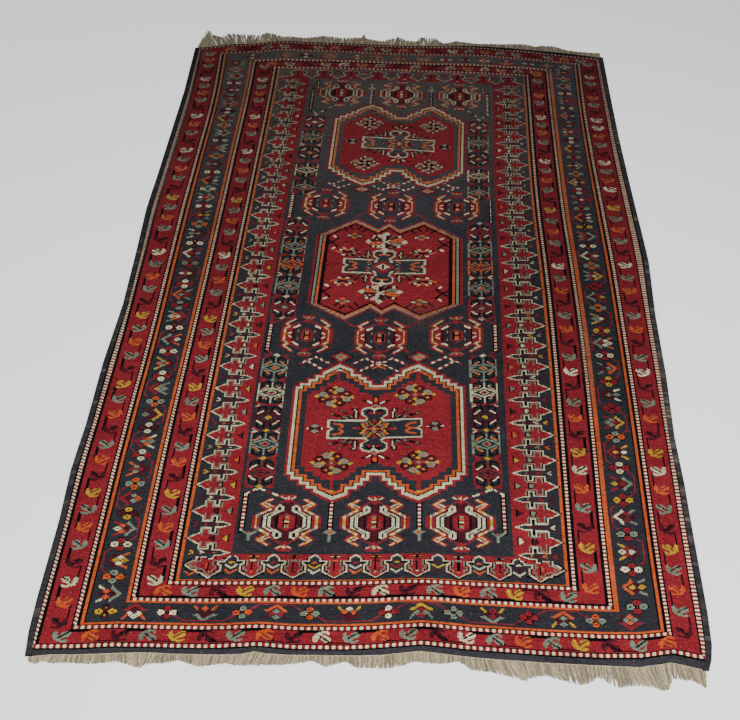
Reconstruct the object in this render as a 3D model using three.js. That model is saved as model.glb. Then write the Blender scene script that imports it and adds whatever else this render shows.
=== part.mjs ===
// A village pile rug lying flat on a floor: one slab of pile cloth with a flat-woven band at each end,
// an overcast selvedge along each side, and a fringe of warp ends at each end.
// Millimetres, +X across the rug, +Y along it to the far end, +Z up, underside on z = 0.
// The layout is measured from the near left corner of the outermost dotted guard line, and the whole
// rug is then moved so that the origin is the middle of its underside.
import * as THREE from 'three';

const GUARD_WIDTH = 1300;      // across, between the outermost dotted guard lines
const GUARD_LENGTH = 2000;     // along, between the outermost dotted guard lines
const PILE_HEIGHT = 7.6;       // floor to the top of the pile
const BAND_HEIGHT = 3.2;       // floor to the top of the flat-woven end bands
const SIDE_HEIGHT = 4.6;       // the pile where it meets the selvedge
const BAND_WIDTH = 10.5;       // flat-woven band at each end
const PILE_SLOPE = 3;          // how far the pile takes to rise to its full height
const PIECE_GAP = 0.35;        // clearance between neighbouring pieces
const PILE_WAVE = 0.35;        // slow unevenness of the worn pile
const WAVE_ACROSS = 83;        // its wave sizes, divided by a full turn
const WAVE_ALONG = 127;

const SELVEDGE_WIDTH = 13.5;
const SELVEDGE_CREST = 5.4;
const SELVEDGE_EDGE = 2.4;     // height of its outer rim
const SELVEDGE_SEAM = 4;       // its height beside the cloth

const BODY_COLUMNS = 26;       // steps across the pile cloth
const BODY_ROWS = 38;          // steps along the pile cloth

const STRANDS_PER_END = 132;
const ROOT_STRIP = 4.5;        // the knotted row that the strands hang from
const ROOT_HEIGHT = 3.6;
const ROOT_SEAM_HEIGHT = 3.1;  // the knotted row beside the cloth
const STRAND_MID_HEIGHT = 2.9;
const STRAND_TIP_HEIGHT = 1.8;
const STRAND_ROOT_SHARE = 0.8; // share of a strand's pitch that is yarn, the rest is the gap
const STRAND_BEND = 0.55;      // where along its length a strand has its middle section
const STRAND_BEND_LEAN = 0.5;  // how much of its lean it has there
const STRAND_BEND_WIDTH = 0.82; // its width there, as a share of its root
const STRAND_TIP_WIDTH = 3.6;
const STRAND_TIP_GAP = 0.7;
const SHORTEST_STRAND = 6;
const LENGTH_VARIATION = 0.06;
const LEAN_VARIATION = 0.04;
const FRINGE_INSET = 7;        // the fringe starts this far inside the cloth's corners

// Outer edges of the selvedges: distance from the guard line's near left corner.
const SIDE_EDGES = [
  { along: -20, left: -16, right: 1306 },
  { along: 0, left: -18, right: 1314 },
  { along: 30, left: -22, right: 1320 },
  { along: 100, left: -24, right: 1323 },
  { along: 280, left: -24, right: 1323 },
  { along: 400, left: -28, right: 1324 },
  { along: 520, left: -25, right: 1321 },
  { along: 700, left: -26, right: 1328 },
  { along: 890, left: -18, right: 1329 },
  { along: 1080, left: -22, right: 1336 },
  { along: 1240, left: -26, right: 1331 },
  { along: 1420, left: -22, right: 1324 },
  { along: 1600, left: -18, right: 1318 },
  { along: 1780, left: -14, right: 1315 },
  { along: 1900, left: -16, right: 1314 },
  { along: 2040, left: -18, right: 1313 },
];

// Ends of the flat-woven bands, where the fringe begins.
const END_EDGES = [
  { across: -10, near: -19, far: 2008 },
  { across: 30, near: -14, far: 2012 },
  { across: 90, near: -13, far: 2030 },
  { across: 150, near: -9, far: 2036 },
  { across: 210, near: -6, far: 2042 },
  { across: 265, near: -8, far: 2052 },
  { across: 390, near: -8, far: 2053 },
  { across: 425, near: -1, far: 2050 },
  { across: 455, near: -6, far: 2048 },
  { across: 560, near: -5, far: 2046 },
  { across: 660, near: -4, far: 2044 },
  { across: 745, near: 5, far: 2047 },
  { across: 800, near: 0, far: 2050 },
  { across: 880, near: -6, far: 2052 },
  { across: 1000, near: -12, far: 2050 },
  { across: 1100, near: -15, far: 2040 },
  { across: 1180, near: -17, far: 2031 },
  { across: 1232, near: -8, far: 2023 },
  { across: 1280, near: -17, far: 2014 },
  { across: 1308, near: -22, far: 2008 },
];

// How far the strands reach past the bands, and their lean (sideways travel for each mm outwards).
const NEAR_FRINGE = [
  { across: -8, tip: -28, lean: 0.4 },
  { across: 5, tip: -34, lean: 0.2 },
  { across: 20, tip: -27, lean: 0 },
  { across: 40, tip: -33, lean: -0.2 },
  { across: 70, tip: -30, lean: -0.1 },
  { across: 100, tip: -33, lean: 0.1 },
  { across: 160, tip: -26, lean: 0.2 },
  { across: 207, tip: -38, lean: 0.1 },
  { across: 225, tip: -31, lean: -0.3 },
  { across: 250, tip: -28, lean: -0.1 },
  { across: 278, tip: -21, lean: 0.1 },
  { across: 320, tip: -34, lean: 0.1 },
  { across: 375, tip: -26, lean: -0.3 },
  { across: 400, tip: -30, lean: -0.4 },
  { across: 430, tip: -29, lean: -0.5 },
  { across: 500, tip: -26, lean: -0.1 },
  { across: 535, tip: -17, lean: 0.2 },
  { across: 565, tip: -30, lean: 0 },
  { across: 599, tip: -17, lean: 0 },
  { across: 622, tip: -30, lean: 0.2 },
  { across: 675, tip: -30, lean: 0 },
  { across: 735, tip: -16, lean: 0 },
  { across: 790, tip: -19, lean: 0.2 },
  { across: 822, tip: -13, lean: 0 },
  { across: 842, tip: -30, lean: 0.2 },
  { across: 880, tip: -34, lean: 0.4 },
  { across: 925, tip: -47, lean: 0.4 },
  { across: 985, tip: -38, lean: 0.2 },
  { across: 1045, tip: -56, lean: 0.3 },
  { across: 1090, tip: -40, lean: 0.1 },
  { across: 1120, tip: -61, lean: 0.3 },
  { across: 1160, tip: -53, lean: 0.5 },
  { across: 1195, tip: -62, lean: 0.3 },
  { across: 1216, tip: -60, lean: 0.1 },
  { across: 1233, tip: -38, lean: -0.1 },
  { across: 1262, tip: -43, lean: 0.4 },
  { across: 1291, tip: -56, lean: 0.1 },
  { across: 1303, tip: -42, lean: -0.2 },
];
const FAR_FRINGE = [
  { across: -8, tip: 2070, lean: 0.1 },
  { across: 6, tip: 2112, lean: 0.05 },
  { across: 26, tip: 2110, lean: -0.15 },
  { across: 50, tip: 2092, lean: -0.4 },
  { across: 85, tip: 2078, lean: -0.5 },
  { across: 103, tip: 2098, lean: -0.4 },
  { across: 160, tip: 2097, lean: -0.1 },
  { across: 175, tip: 2089, lean: 0.1 },
  { across: 198, tip: 2110, lean: 0.1 },
  { across: 225, tip: 2107, lean: -0.3 },
  { across: 270, tip: 2091, lean: -0.3 },
  { across: 340, tip: 2086, lean: 0 },
  { across: 390, tip: 2099, lean: 0 },
  { across: 430, tip: 2096, lean: -0.2 },
  { across: 460, tip: 2090, lean: 0 },
  { across: 508, tip: 2094, lean: 0.4 },
  { across: 524, tip: 2111, lean: -0.1 },
  { across: 550, tip: 2091, lean: -0.3 },
  { across: 592, tip: 2077, lean: -0.1 },
  { across: 640, tip: 2101, lean: 0 },
  { across: 670, tip: 2083, lean: -0.1 },
  { across: 705, tip: 2081, lean: 0 },
  { across: 722, tip: 2105, lean: -0.1 },
  { across: 762, tip: 2098, lean: 0.1 },
  { across: 793, tip: 2070, lean: 0 },
  { across: 838, tip: 2087, lean: -0.1 },
  { across: 905, tip: 2072, lean: 0 },
  { across: 1060, tip: 2079, lean: 0 },
  { across: 1095, tip: 2064, lean: 0 },
  { across: 1125, tip: 2074, lean: -0.1 },
  { across: 1155, tip: 2072, lean: 0 },
  { across: 1180, tip: 2055, lean: 0.1 },
  { across: 1225, tip: 2042, lean: 0.1 },
  { across: 1303, tip: 2037, lean: -0.1 },
];

// Low ripples where the cloth doesn't lie quite flat: centre, half widths and height.
const RIPPLES = [
  { across: 425, along: 0, halfWidth: 70, halfLength: 170, height: 2.6 },
  { across: 747, along: 0, halfWidth: 110, halfLength: 330, height: 5.5 },
  { across: 1236, along: 0, halfWidth: 75, halfLength: 240, height: 4.6 },
  { across: 1336, along: 1090, halfWidth: 150, halfLength: 210, height: 4 },
  { across: -28, along: 400, halfWidth: 130, halfLength: 150, height: 3.4 },
  { across: -26, along: 1240, halfWidth: 120, halfLength: 170, height: 3 },
  { across: 265, along: 2052, halfWidth: 120, halfLength: 220, height: 4.2 },
  { across: 880, along: 2052, halfWidth: 160, halfLength: 240, height: 3.6 },
];

const COLOURS = {
  pile: { color: 0x7a2028, roughness: 0.95, metalness: 0 },
  selvedge: { color: 0x2b2b33, roughness: 0.95, metalness: 0 },
  fringe: { color: 0xb7ab8c, roughness: 0.95, metalness: 0 },
};

function readTable(table, key, column, place) {
  const last = table.length - 1;
  if (place <= table[0][key]) return table[0][column];
  if (place >= table[last][key]) return table[last][column];
  let row = 0;
  while (place > table[row + 1][key]) row += 1;
  const share = (place - table[row][key]) / (table[row + 1][key] - table[row][key]);
  return THREE.MathUtils.lerp(table[row][column], table[row + 1][column], share);
}

// A ripple falls from its height to nothing at its half widths, so most of the underside is flat.
function lift(across, along) {
  let height = 0;
  for (const ripple of RIPPLES) {
    const sideways = (across - ripple.across) / ripple.halfWidth;
    const lengthways = (along - ripple.along) / ripple.halfLength;
    const distance = Math.min(1, Math.hypot(sideways, lengthways));
    const bell = (1 - distance * distance) ** 2;
    height += ripple.height * bell;
  }
  return height;
}

// Repeatable small differences between strands, from -1 to 1.
function variation(index, seed) {
  const wave = Math.sin(index * 12.9898 + seed * 78.233) * 43758.5453;
  return (wave - Math.floor(wave)) * 2 - 1;
}

// Where the pile cloth's point (u across, v along, each 0 to 1) lies on the floor.
const CLOTH_LEFT = SIDE_EDGES[0].left + SELVEDGE_WIDTH;
const CLOTH_RIGHT = SIDE_EDGES[0].right - SELVEDGE_WIDTH;
function clothPoint(u, v) {
  const across = THREE.MathUtils.lerp(CLOTH_LEFT, CLOTH_RIGHT, u);
  const near = readTable(END_EDGES, 'across', 'near', across);
  const far = readTable(END_EDGES, 'across', 'far', across);
  const along = THREE.MathUtils.lerp(near, far, v);
  const left = readTable(SIDE_EDGES, 'along', 'left', along) + SELVEDGE_WIDTH + PIECE_GAP;
  const right = readTable(SIDE_EDGES, 'along', 'right', along) - SELVEDGE_WIDTH - PIECE_GAP;
  return { across: THREE.MathUtils.lerp(left, right, u), along };
}

// Even steps between two ends, with extra lines close to each end.
function stepsWithMargins(span, margins, count) {
  const inner = margins[margins.length - 1];
  const steps = margins.map((margin) => margin / span);
  for (let step = 1; step < count; step += 1) {
    steps.push((inner + (span - 2 * inner) * (step / count)) / span);
  }
  for (const margin of [...margins].reverse()) steps.push(1 - margin / span);
  return steps;
}

// Closes a flat layout of triangles into a solid between each point's bottom and top.
function closedSlab(points, triangles) {
  const count = points.length;
  const positions = [];
  for (const point of points) positions.push(point.across, point.along, point.top);
  for (const point of points) positions.push(point.across, point.along, point.bottom);
  const indices = [];
  const borders = new Map();
  for (const [a, b, c] of triangles) {
    indices.push(a, b, c, count + a, count + c, count + b);
    for (const [from, to] of [[a, b], [b, c], [c, a]]) {
      const back = `${to}_${from}`;
      if (borders.has(back)) borders.delete(back);
      else borders.set(`${from}_${to}`, [from, to]);
    }
  }
  for (const [from, to] of borders.values()) {
    indices.push(from, count + from, count + to, from, count + to, to);
  }
  const geometry = new THREE.BufferGeometry();
  geometry.setAttribute('position', new THREE.Float32BufferAttribute(positions, 3));
  geometry.setIndex(indices);
  return geometry;
}

// Triangles of a regular layout whose points run across first, then along.
function gridTriangles(columns, rows) {
  const triangles = [];
  for (let row = 0; row + 1 < rows; row += 1) {
    for (let column = 0; column + 1 < columns; column += 1) {
      const corner = row * columns + column;
      triangles.push([corner, corner + 1, corner + columns + 1]);
      triangles.push([corner, corner + columns + 1, corner + columns]);
    }
  }
  return triangles;
}

const CLOTH_LENGTH = GUARD_LENGTH + 2 * BAND_WIDTH;
const ROW_STEPS = stepsWithMargins(CLOTH_LENGTH, [0, BAND_WIDTH, BAND_WIDTH + PILE_SLOPE], BODY_ROWS);
const COLUMN_STEPS = stepsWithMargins(GUARD_WIDTH, [0, PILE_SLOPE], BODY_COLUMNS);

function clothTop(u, v, across, along) {
  const fromEnd = Math.min(v, 1 - v) * CLOTH_LENGTH;
  const fromSide = Math.min(u, 1 - u) * GUARD_WIDTH;
  if (fromEnd < BAND_WIDTH + PILE_SLOPE / 2) return BAND_HEIGHT;
  if (fromSide < PILE_SLOPE / 2) return SIDE_HEIGHT;
  return PILE_HEIGHT + PILE_WAVE * Math.sin(across / WAVE_ACROSS) * Math.cos(along / WAVE_ALONG);
}

function pileCloth() {
  const points = [];
  for (const v of ROW_STEPS) {
    for (const u of COLUMN_STEPS) {
      const { across, along } = clothPoint(u, v);
      const bottom = lift(across, along);
      points.push({ across, along, bottom, top: bottom + clothTop(u, v, across, along) });
    }
  }
  return closedSlab(points, gridTriangles(COLUMN_STEPS.length, ROW_STEPS.length));
}

// The overcast edge: a low rounded band beside the cloth, from the outer edge (share 0) inwards.
const SELVEDGE_SECTION = [
  { share: 0, height: SELVEDGE_EDGE },
  { share: 0.3, height: SELVEDGE_CREST },
  { share: 0.7, height: SELVEDGE_CREST },
  { share: 1, height: SELVEDGE_SEAM },
];
function selvedge(side) {
  const points = [];
  const inwards = side === 'left' ? 1 : -1;
  for (const v of ROW_STEPS) {
    const inner = clothPoint(side === 'left' ? 0 : 1, v);
    const innerEdge = inner.across - inwards * PIECE_GAP;
    const section = side === 'left' ? SELVEDGE_SECTION : [...SELVEDGE_SECTION].reverse();
    for (const { share, height } of section) {
      const across = innerEdge - inwards * SELVEDGE_WIDTH * (1 - share);
      const bottom = lift(across, inner.along);
      points.push({ across, along: inner.along, bottom, top: bottom + height });
    }
  }
  return closedSlab(points, gridTriangles(SELVEDGE_SECTION.length, ROW_STEPS.length));
}

// The cloth's own end edge, as the straight steps that the slab above has.
function endEdge(v) {
  return COLUMN_STEPS.map((u) => clothPoint(u, v));
}

// One fringe: a knotted strip that follows the end edge, with strands that lie on the floor beyond it.
function fringe(table, v) {
  const outwards = v === 0 ? -1 : 1;
  const edge = endEdge(v);
  const first = edge[0].across + FRINGE_INSET;
  const pitch = (edge[edge.length - 1].across - FRINGE_INSET - first) / STRANDS_PER_END;
  const rootWidth = pitch * STRAND_ROOT_SHARE;
  const points = [];
  const triangles = [];
  const addPoint = (across, along, share, height) => {
    const bottom = lift(across, readTable(edge, 'across', 'along', across)) * (1 - share);
    points.push({ across, along, bottom, top: bottom + height });
    return points.length - 1;
  };
  const addQuad = (innerLeft, innerRight, outerLeft, outerRight) => {
    if (outwards > 0) {
      triangles.push([innerLeft, innerRight, outerRight], [innerLeft, outerRight, outerLeft]);
    } else {
      triangles.push([innerLeft, outerRight, innerRight], [innerLeft, outerLeft, outerRight]);
    }
  };
  const stripPair = (across) => {
    const along = readTable(edge, 'across', 'along', across) + outwards * PIECE_GAP;
    const inner = addPoint(across, along, 0, ROOT_SEAM_HEIGHT);
    const outer = addPoint(across, along + outwards * ROOT_STRIP, 0, ROOT_HEIGHT);
    return { inner, outer };
  };
  let previous = null;
  let lastTip = -Infinity;
  for (let strand = 0; strand < STRANDS_PER_END; strand += 1) {
    const rootLeft = first + pitch * strand;
    const middle = rootLeft + rootWidth / 2;
    const left = stripPair(rootLeft);
    const right = stripPair(rootLeft + rootWidth);
    if (previous) addQuad(previous.inner, left.inner, previous.outer, left.outer);
    addQuad(left.inner, right.inner, left.outer, right.outer);
    previous = right;

    const rootAlong = readTable(edge, 'across', 'along', middle) + outwards * (PIECE_GAP + ROOT_STRIP);
    const reach = Math.abs(readTable(table, 'across', 'tip', middle) - rootAlong);
    const length = Math.max(SHORTEST_STRAND, reach * (1 + LENGTH_VARIATION * variation(strand, 1)));
    const lean = readTable(table, 'across', 'lean', middle) + LEAN_VARIATION * variation(strand, 2);
    const tipMiddle = Math.max(middle + lean * length, lastTip + STRAND_TIP_WIDTH + STRAND_TIP_GAP);
    lastTip = tipMiddle;
    const bend = THREE.MathUtils.lerp(middle, tipMiddle, STRAND_BEND_LEAN);
    const sections = [
      { share: STRAND_BEND, across: bend, width: rootWidth * STRAND_BEND_WIDTH },
      { share: 1, across: tipMiddle, width: STRAND_TIP_WIDTH },
    ];
    let rootSide = left.outer;
    let farSide = right.outer;
    for (const section of sections) {
      const along = rootAlong + outwards * length * section.share;
      const height = section.share < 1 ? STRAND_MID_HEIGHT : STRAND_TIP_HEIGHT;
      const low = addPoint(section.across - section.width / 2, along, section.share, height);
      const high = addPoint(section.across + section.width / 2, along, section.share, height);
      addQuad(rootSide, farSide, low, high);
      rootSide = low;
      farSide = high;
    }
  }
  return closedSlab(points, triangles);
}

const rug = new THREE.Group();
function addPiece(name, geometry, finish) {
  geometry.computeVertexNormals();
  const mesh = new THREE.Mesh(geometry, new THREE.MeshStandardMaterial(finish));
  mesh.name = name;
  rug.add(mesh);
}
addPiece('rug_body', pileCloth(), COLOURS.pile);
addPiece('selvedge_left', selvedge('left'), COLOURS.selvedge);
addPiece('selvedge_right', selvedge('right'), COLOURS.selvedge);
addPiece('fringe_near', fringe(NEAR_FRINGE, 0), COLOURS.fringe);
addPiece('fringe_far', fringe(FAR_FRINGE, 1), COLOURS.fringe);

const box = new THREE.Box3().setFromObject(rug);
const middle = box.getCenter(new THREE.Vector3());
rug.position.set(-middle.x, -middle.y, 0);

export default rug;
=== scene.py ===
import math
import bpy
import numpy as np
from mathutils import Matrix, Vector


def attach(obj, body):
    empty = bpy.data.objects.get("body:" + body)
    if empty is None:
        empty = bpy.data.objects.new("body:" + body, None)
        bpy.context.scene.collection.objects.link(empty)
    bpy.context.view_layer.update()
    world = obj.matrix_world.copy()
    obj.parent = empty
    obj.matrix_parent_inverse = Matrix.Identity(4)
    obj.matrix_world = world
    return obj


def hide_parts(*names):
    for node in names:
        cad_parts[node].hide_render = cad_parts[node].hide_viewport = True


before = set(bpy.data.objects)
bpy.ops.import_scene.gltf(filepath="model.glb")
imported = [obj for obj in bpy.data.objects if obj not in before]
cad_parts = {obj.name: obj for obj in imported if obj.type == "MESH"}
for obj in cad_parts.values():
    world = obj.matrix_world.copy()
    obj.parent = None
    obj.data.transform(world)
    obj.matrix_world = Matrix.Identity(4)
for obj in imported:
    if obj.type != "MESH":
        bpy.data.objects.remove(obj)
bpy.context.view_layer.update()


# The cloth's outline, as the CAD part has it, in millimetres in the guard line's frame. Side edges: a place
# along, and the left and right edge there. End edges: a place across, and the near and far edge there.
SIDE_EDGES = (
    (-20, -16, 1306), (0, -18, 1314), (30, -22, 1320), (100, -24, 1323), (280, -24, 1323),
    (400, -28, 1324), (520, -25, 1321), (700, -26, 1328), (890, -18, 1329), (1080, -22, 1336),
    (1240, -26, 1331), (1420, -22, 1324), (1600, -18, 1318), (1780, -14, 1315), (1900, -16, 1314),
    (2040, -18, 1313),
)
END_EDGES = (
    (-10, -19, 2008), (30, -14, 2012), (90, -13, 2030), (150, -9, 2036), (210, -6, 2042), (265, -8, 2052),
    (390, -8, 2053), (425, -1, 2050), (455, -6, 2048), (560, -5, 2046), (660, -4, 2044), (745, 5, 2047),
    (800, 0, 2050), (880, -6, 2052), (1000, -12, 2050), (1100, -15, 2040), (1180, -17, 2031),
    (1232, -8, 2023), (1280, -17, 2014), (1308, -22, 2008),
)
SELVEDGE_INSET = 13.85         # a selvedge and the gap beside it


# The pattern is worked out on a chart of knots, as a weaver would: a letter for the yarn of each knot.
# Its places are millimetres in a straight layout, from the near left corner of the outermost guard line.
COLUMN = 3.25                  # a knot's width
ROW = 2.06                     # a knot's height
COLUMNS = 406
ROWS = 1000
CHART_LEFT = -11.0
CHART_NEAR = -8.0
KNOT_X = CHART_LEFT + (np.arange(COLUMNS) + 0.5) * COLUMN
KNOT_Y = CHART_NEAR + (np.arange(ROWS) + 0.5) * ROW
MIDDLE = 645.0                 # the field's centre line
DASH = 8.0                     # length of one colour on a dashed line

chart = np.full((ROWS, COLUMNS), "n", "U1")


class Pen:
    """Draws on the chart in its own frame: u and v are millimetres along the two directions given."""

    def __init__(self, x, y, across=(1.0, 0.0), along=(0.0, 1.0)):
        self.x = x
        self.y = y
        self.across = across
        self.along = along

    def place(self, u, v):
        x = self.x + u * self.across[0] + v * self.along[0]
        y = self.y + u * self.across[1] + v * self.along[1]
        return x, y

    def moved(self, u, v, flip_u=1, flip_v=1):
        x, y = self.place(u, v)
        across = (self.across[0] * flip_u, self.across[1] * flip_u)
        along = (self.along[0] * flip_v, self.along[1] * flip_v)
        return Pen(x, y, across, along)

    def quarters(self):
        """The pen turned outwards into each of its four quarters."""
        return [self.moved(0, 0, side, end) for side in (-1, 1) for end in (-1, 1)]

    def window(self, places, margin):
        xs = [place[0] for place in places]
        ys = [place[1] for place in places]
        first = max(0, int((min(xs) - margin - CHART_LEFT) / COLUMN))
        last = min(COLUMNS, int((max(xs) + margin - CHART_LEFT) / COLUMN) + 1)
        low = max(0, int((min(ys) - margin - CHART_NEAR) / ROW))
        high = min(ROWS, int((max(ys) + margin - CHART_NEAR) / ROW) + 1)
        return slice(low, high), slice(first, last)

    def area(self, colour, *points):
        """Fills a polygon."""
        places = [self.place(u, v) for u, v in points]
        rows, columns = self.window(places, COLUMN)
        xs = KNOT_X[columns][None, :]
        ys = KNOT_Y[rows][:, None]
        inside = np.zeros((ys.shape[0], xs.shape[1]), bool)
        for (x0, y0), (x1, y1) in zip(places, places[1:] + places[:1]):
            if y0 == y1:
                continue
            crosses = (y0 > ys) != (y1 > ys)
            inside ^= crosses & (xs < x0 + (x1 - x0) * (ys - y0) / (y1 - y0))
        chart[rows, columns][inside] = colour

    def line(self, colour, *points, width=3.4):
        """Draws a line, at least a knot wide. A colour with several letters makes dashes of them."""
        places = [self.place(u, v) for u, v in points]
        half = width / 2
        half_x = max(half, COLUMN / 2 + 0.03)
        half_y = max(half, ROW / 2 + 0.03)
        rows, columns = self.window(places, half_x)
        xs = KNOT_X[columns][None, :]
        ys = KNOT_Y[rows][:, None]
        travelled = 0.0
        for (x0, y0), (x1, y1) in zip(places, places[1:]):
            length = math.hypot(x1 - x0, y1 - y0)
            if length == 0:
                continue
            share = ((xs - x0) * (x1 - x0) + (ys - y0) * (y1 - y0)) / length**2
            near = np.clip(share, 0, 1)
            beside = (xs - x0 - near * (x1 - x0)) / half_x
            past = (ys - y0 - near * (y1 - y0)) / half_y
            reach = np.hypot(beside, past) <= 1
            if len(colour) == 1:
                chart[rows, columns][reach] = colour
            else:
                dash = ((travelled + near * length) / DASH).astype(int) % len(colour)
                for index, letter in enumerate(colour):
                    chart[rows, columns][reach & (dash == index)] = letter
            travelled += length

    def diamond(self, colour, u, v, half_u, half_v):
        self.area(colour, (u - half_u, v), (u, v - half_v), (u + half_u, v), (u, v + half_v))

    def block(self, colour, u, v, half_u, half_v):
        self.area(
            colour,
            (u - half_u, v - half_v),
            (u + half_u, v - half_v),
            (u + half_u, v + half_v),
            (u - half_u, v + half_v),
        )

    def oval(self, colour, u, v, half_u, half_v):
        turns = [step * math.pi / 6 for step in range(12)]
        self.area(colour, *[(u + half_u * math.cos(t), v + half_v * math.sin(t)) for t in turns])


sheet = Pen(0, 0)

# The nested frames of the border, outermost first: the colour, and where each starts on the left, near,
# right and far side. A colour of * is a dotted guard line.
FRAMES = (
    ("k", -12.0, -9.0, 1312.0, 2054.0),
    ("*", -7.8, 4.2, 1305.2, 2034.0),
    ("k", -1.3, 10.3, 1295.8, 2027.9),
    ("r", 5.2, 12.4, 1292.2, 2025.8),
    ("k", 60.2, 39.2, 1243.7, 1996.0),
    ("*", 63.8, 41.3, 1240.3, 1994.0),
    ("k", 70.2, 47.4, 1233.7, 1987.8),
    ("o", 76.8, 50.0, 1227.2, 1985.2),
    ("k", 83.2, 54.0, 1220.7, 1983.2),
    ("n", 86.5, 54.0, 1217.5, 1983.2),
    ("o", 156.4, 95.8, 1142.6, 1944.2),
    ("k", 164.5, 98.2, 1134.4, 1941.9),
    ("*", 167.8, 98.3, 1129.6, 1941.8),
    ("k", 174.3, 104.5, 1123.2, 1935.6),
    ("r", 180.8, 108.6, 1116.7, 1931.4),
    ("k", 232.7, 135.0, 1067.0, 1906.0),
    ("*", 236.0, 136.0, 1062.3, 1904.5),
    ("k", 242.5, 142.1, 1055.0, 1898.4),
    ("o", 249.0, 144.3, 1048.4, 1896.2),
    ("n", 255.5, 146.6, 1042.0, 1894.0),
)
DOT_REPEAT = 4                 # knots in one repeat of the dotted guard lines
NEAR_BAND = 5                  # rows of the flat-woven band at the near end


def frames():
    columns = np.arange(COLUMNS)[None, :]
    rows = np.arange(ROWS)[:, None]
    xs = KNOT_X[None, :]
    ys = KNOT_Y[:, None]
    inner_frames = FRAMES[1:] + (FRAMES[-1],)
    for (colour, left, near, right, far), inner in zip(FRAMES, inner_frames):
        inside = (xs > left) & (xs < right) & (ys > near) & (ys < far)
        if colour != "*":
            chart[inside] = colour
            continue
        at_end = (ys < inner[2]) | (ys > inner[4])
        slant = xs < MIDDLE
        white = np.where(at_end, columns % DOT_REPEAT < 2, (rows + slant * columns) % DOT_REPEAT < 2)
        chart[inside & white] = "w"
        chart[inside & ~white] = "r"
    chart[:NEAR_BAND] = "e"


def leaf(pen, colour):
    """A leaf like a mitten: an ear on the left, two fingers to the upper right and a thumb below."""
    vein = "b" if colour in "oy" else "k"
    pen.area(colour, (-16, 8), (-12, 12), (-8, 8), (-6, 1), (0, -4), (-3, -12), (-12, -8), (-17, 0))
    pen.area(colour, (-9, -2), (3, 10), (14, 11), (17, 6), (15, 1), (3, -10), (-6, -10))
    pen.area(colour, (-6, -8), (0, -13), (9, -13), (15, -9), (13, -5), (5, -9))
    pen.line(vein, (-5, -3), (4, 4), (13, 9), width=3.1)
    pen.line("r", (3, -7), (10, -3), (16, -2), width=3.0)
    pen.line("r", (-7, 6), (-2, 1), width=2.6)


# Side leaves: where leaf number i lies, by a few numbers and their places, and the yarns in order.
LEFT_OUTER_LEAVES = (
    (0, 54), (3, 180), (11, 507), (19, 842), (26, 1147), (34, 1481), (40, 1729), (47, 1990),
)
LEFT_OUTER_YARNS = "docdgosydogdosydgosydgoswdgosydsoswdgowdgoswdgog"
RIGHT_OUTER_LEAVES = ((0, 51), (10, 503), (20, 948), (27, 1279), (35, 1605), (39, 1759), (45, 1990))
RIGHT_OUTER_YARNS = "dgosydgocydogdwgdogdoswdgosydwogwdgowwdgodgwds"
LEFT_INNER_LEAVES = ((0, 144), (9, 505), (17, 835), (24, 1139), (32, 1481), (38, 1733), (43, 1908))
LEFT_INNER_YARNS = "cdgosydogdosydgosydgoswdgosydsoswdgowdgoswdg"
RIGHT_INNER_LEAVES = ((0, 142), (8, 501), (18, 944), (25, 1264), (33, 1616), (37, 1762), (41, 1912))
RIGHT_INNER_YARNS = "osydgocydosdwgdogdoswdgosydsogwdgoswdgodgo"
# End leaves: first place, last place, how far along they lie, which way the first turns, and the yarns.
END_LEAVES = (
    (46, 1230, 26.8, 1, "godsydgodcgosdcgosydgo"),
    (228, 1045, 121.5, -1, "ogdysogdcdsosydg"),
    (95, 1245, 2009.5, -1, "odscdsodsgocdwsogcdgos"),
    (228, 1085, 1919.0, -1, "ogdcwogdcdgocyso"),
)


def side_leaves(x, places, yarns, first_side):
    """Leaves up a side, turned left and right by turns, each with its stem on the other side."""
    ys = read_table(places, 1, range(len(yarns)))
    sides = [first_side * (-1) ** number for number in range(len(yarns))]
    for side, y, following in zip(sides, ys, ys[1:]):
        stem = x - side * 15.5
        sheet.line("k", (stem, y - 2), (stem, following - 8), width=4.2)
    for side, y, yarn in zip(sides, ys, yarns):
        leaf(Pen(x, y, (side, 0.0), (0.0, 0.95)), yarn)


def end_leaves(first, last, y, turn, yarns):
    """Leaves along an end, turned up and down by turns, with their stems between them."""
    xs = np.linspace(first, last, len(yarns))
    sides = [turn * (-1) ** number for number in range(len(yarns))]
    for side, x, following in zip(sides, xs, xs[1:]):
        stem = y + side * 10.5
        sheet.line("k", (x + 8, stem), (following - 2, stem), width=2.2)
        sheet.line("k", (x + 14, y + side * 4), (x + 20, stem), width=2.6)
    for side, x, yarn in zip(sides, xs, yarns):
        leaf(Pen(x, y, (1.05, 0.0), (0.0, 0.92 * side)), yarn)


def blossom(pen, sides, ends, heart="d", wide=1.0, tall=1.0):
    """Four ringed lobes around a heart."""
    for side in (-1, 1):
        pen.oval("k", 0, side * 9 * tall, 9.5 * wide, 7.5 * tall)
        pen.oval("k", side * 14 * wide, 0, 10 * wide, 8 * tall)
    for side in (-1, 1):
        pen.oval(ends, 0, side * 9 * tall, 8 * wide, 6 * tall)
        pen.oval(sides, side * 14 * wide, 0, 8.8 * wide, 6.6 * tall)
        pen.oval("d" if ends != "d" else "y", 0, side * 9 * tall, 2.2 * wide, 1.6 * tall)
        pen.oval(heart, side * 14 * wide, 0, 2.6 * wide, 1.8 * tall)
    pen.block("k", 0, 0, 4.2 * wide, 2.6 * tall)
    pen.block(heart, 0, 0, 1.9, 1.6)


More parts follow.
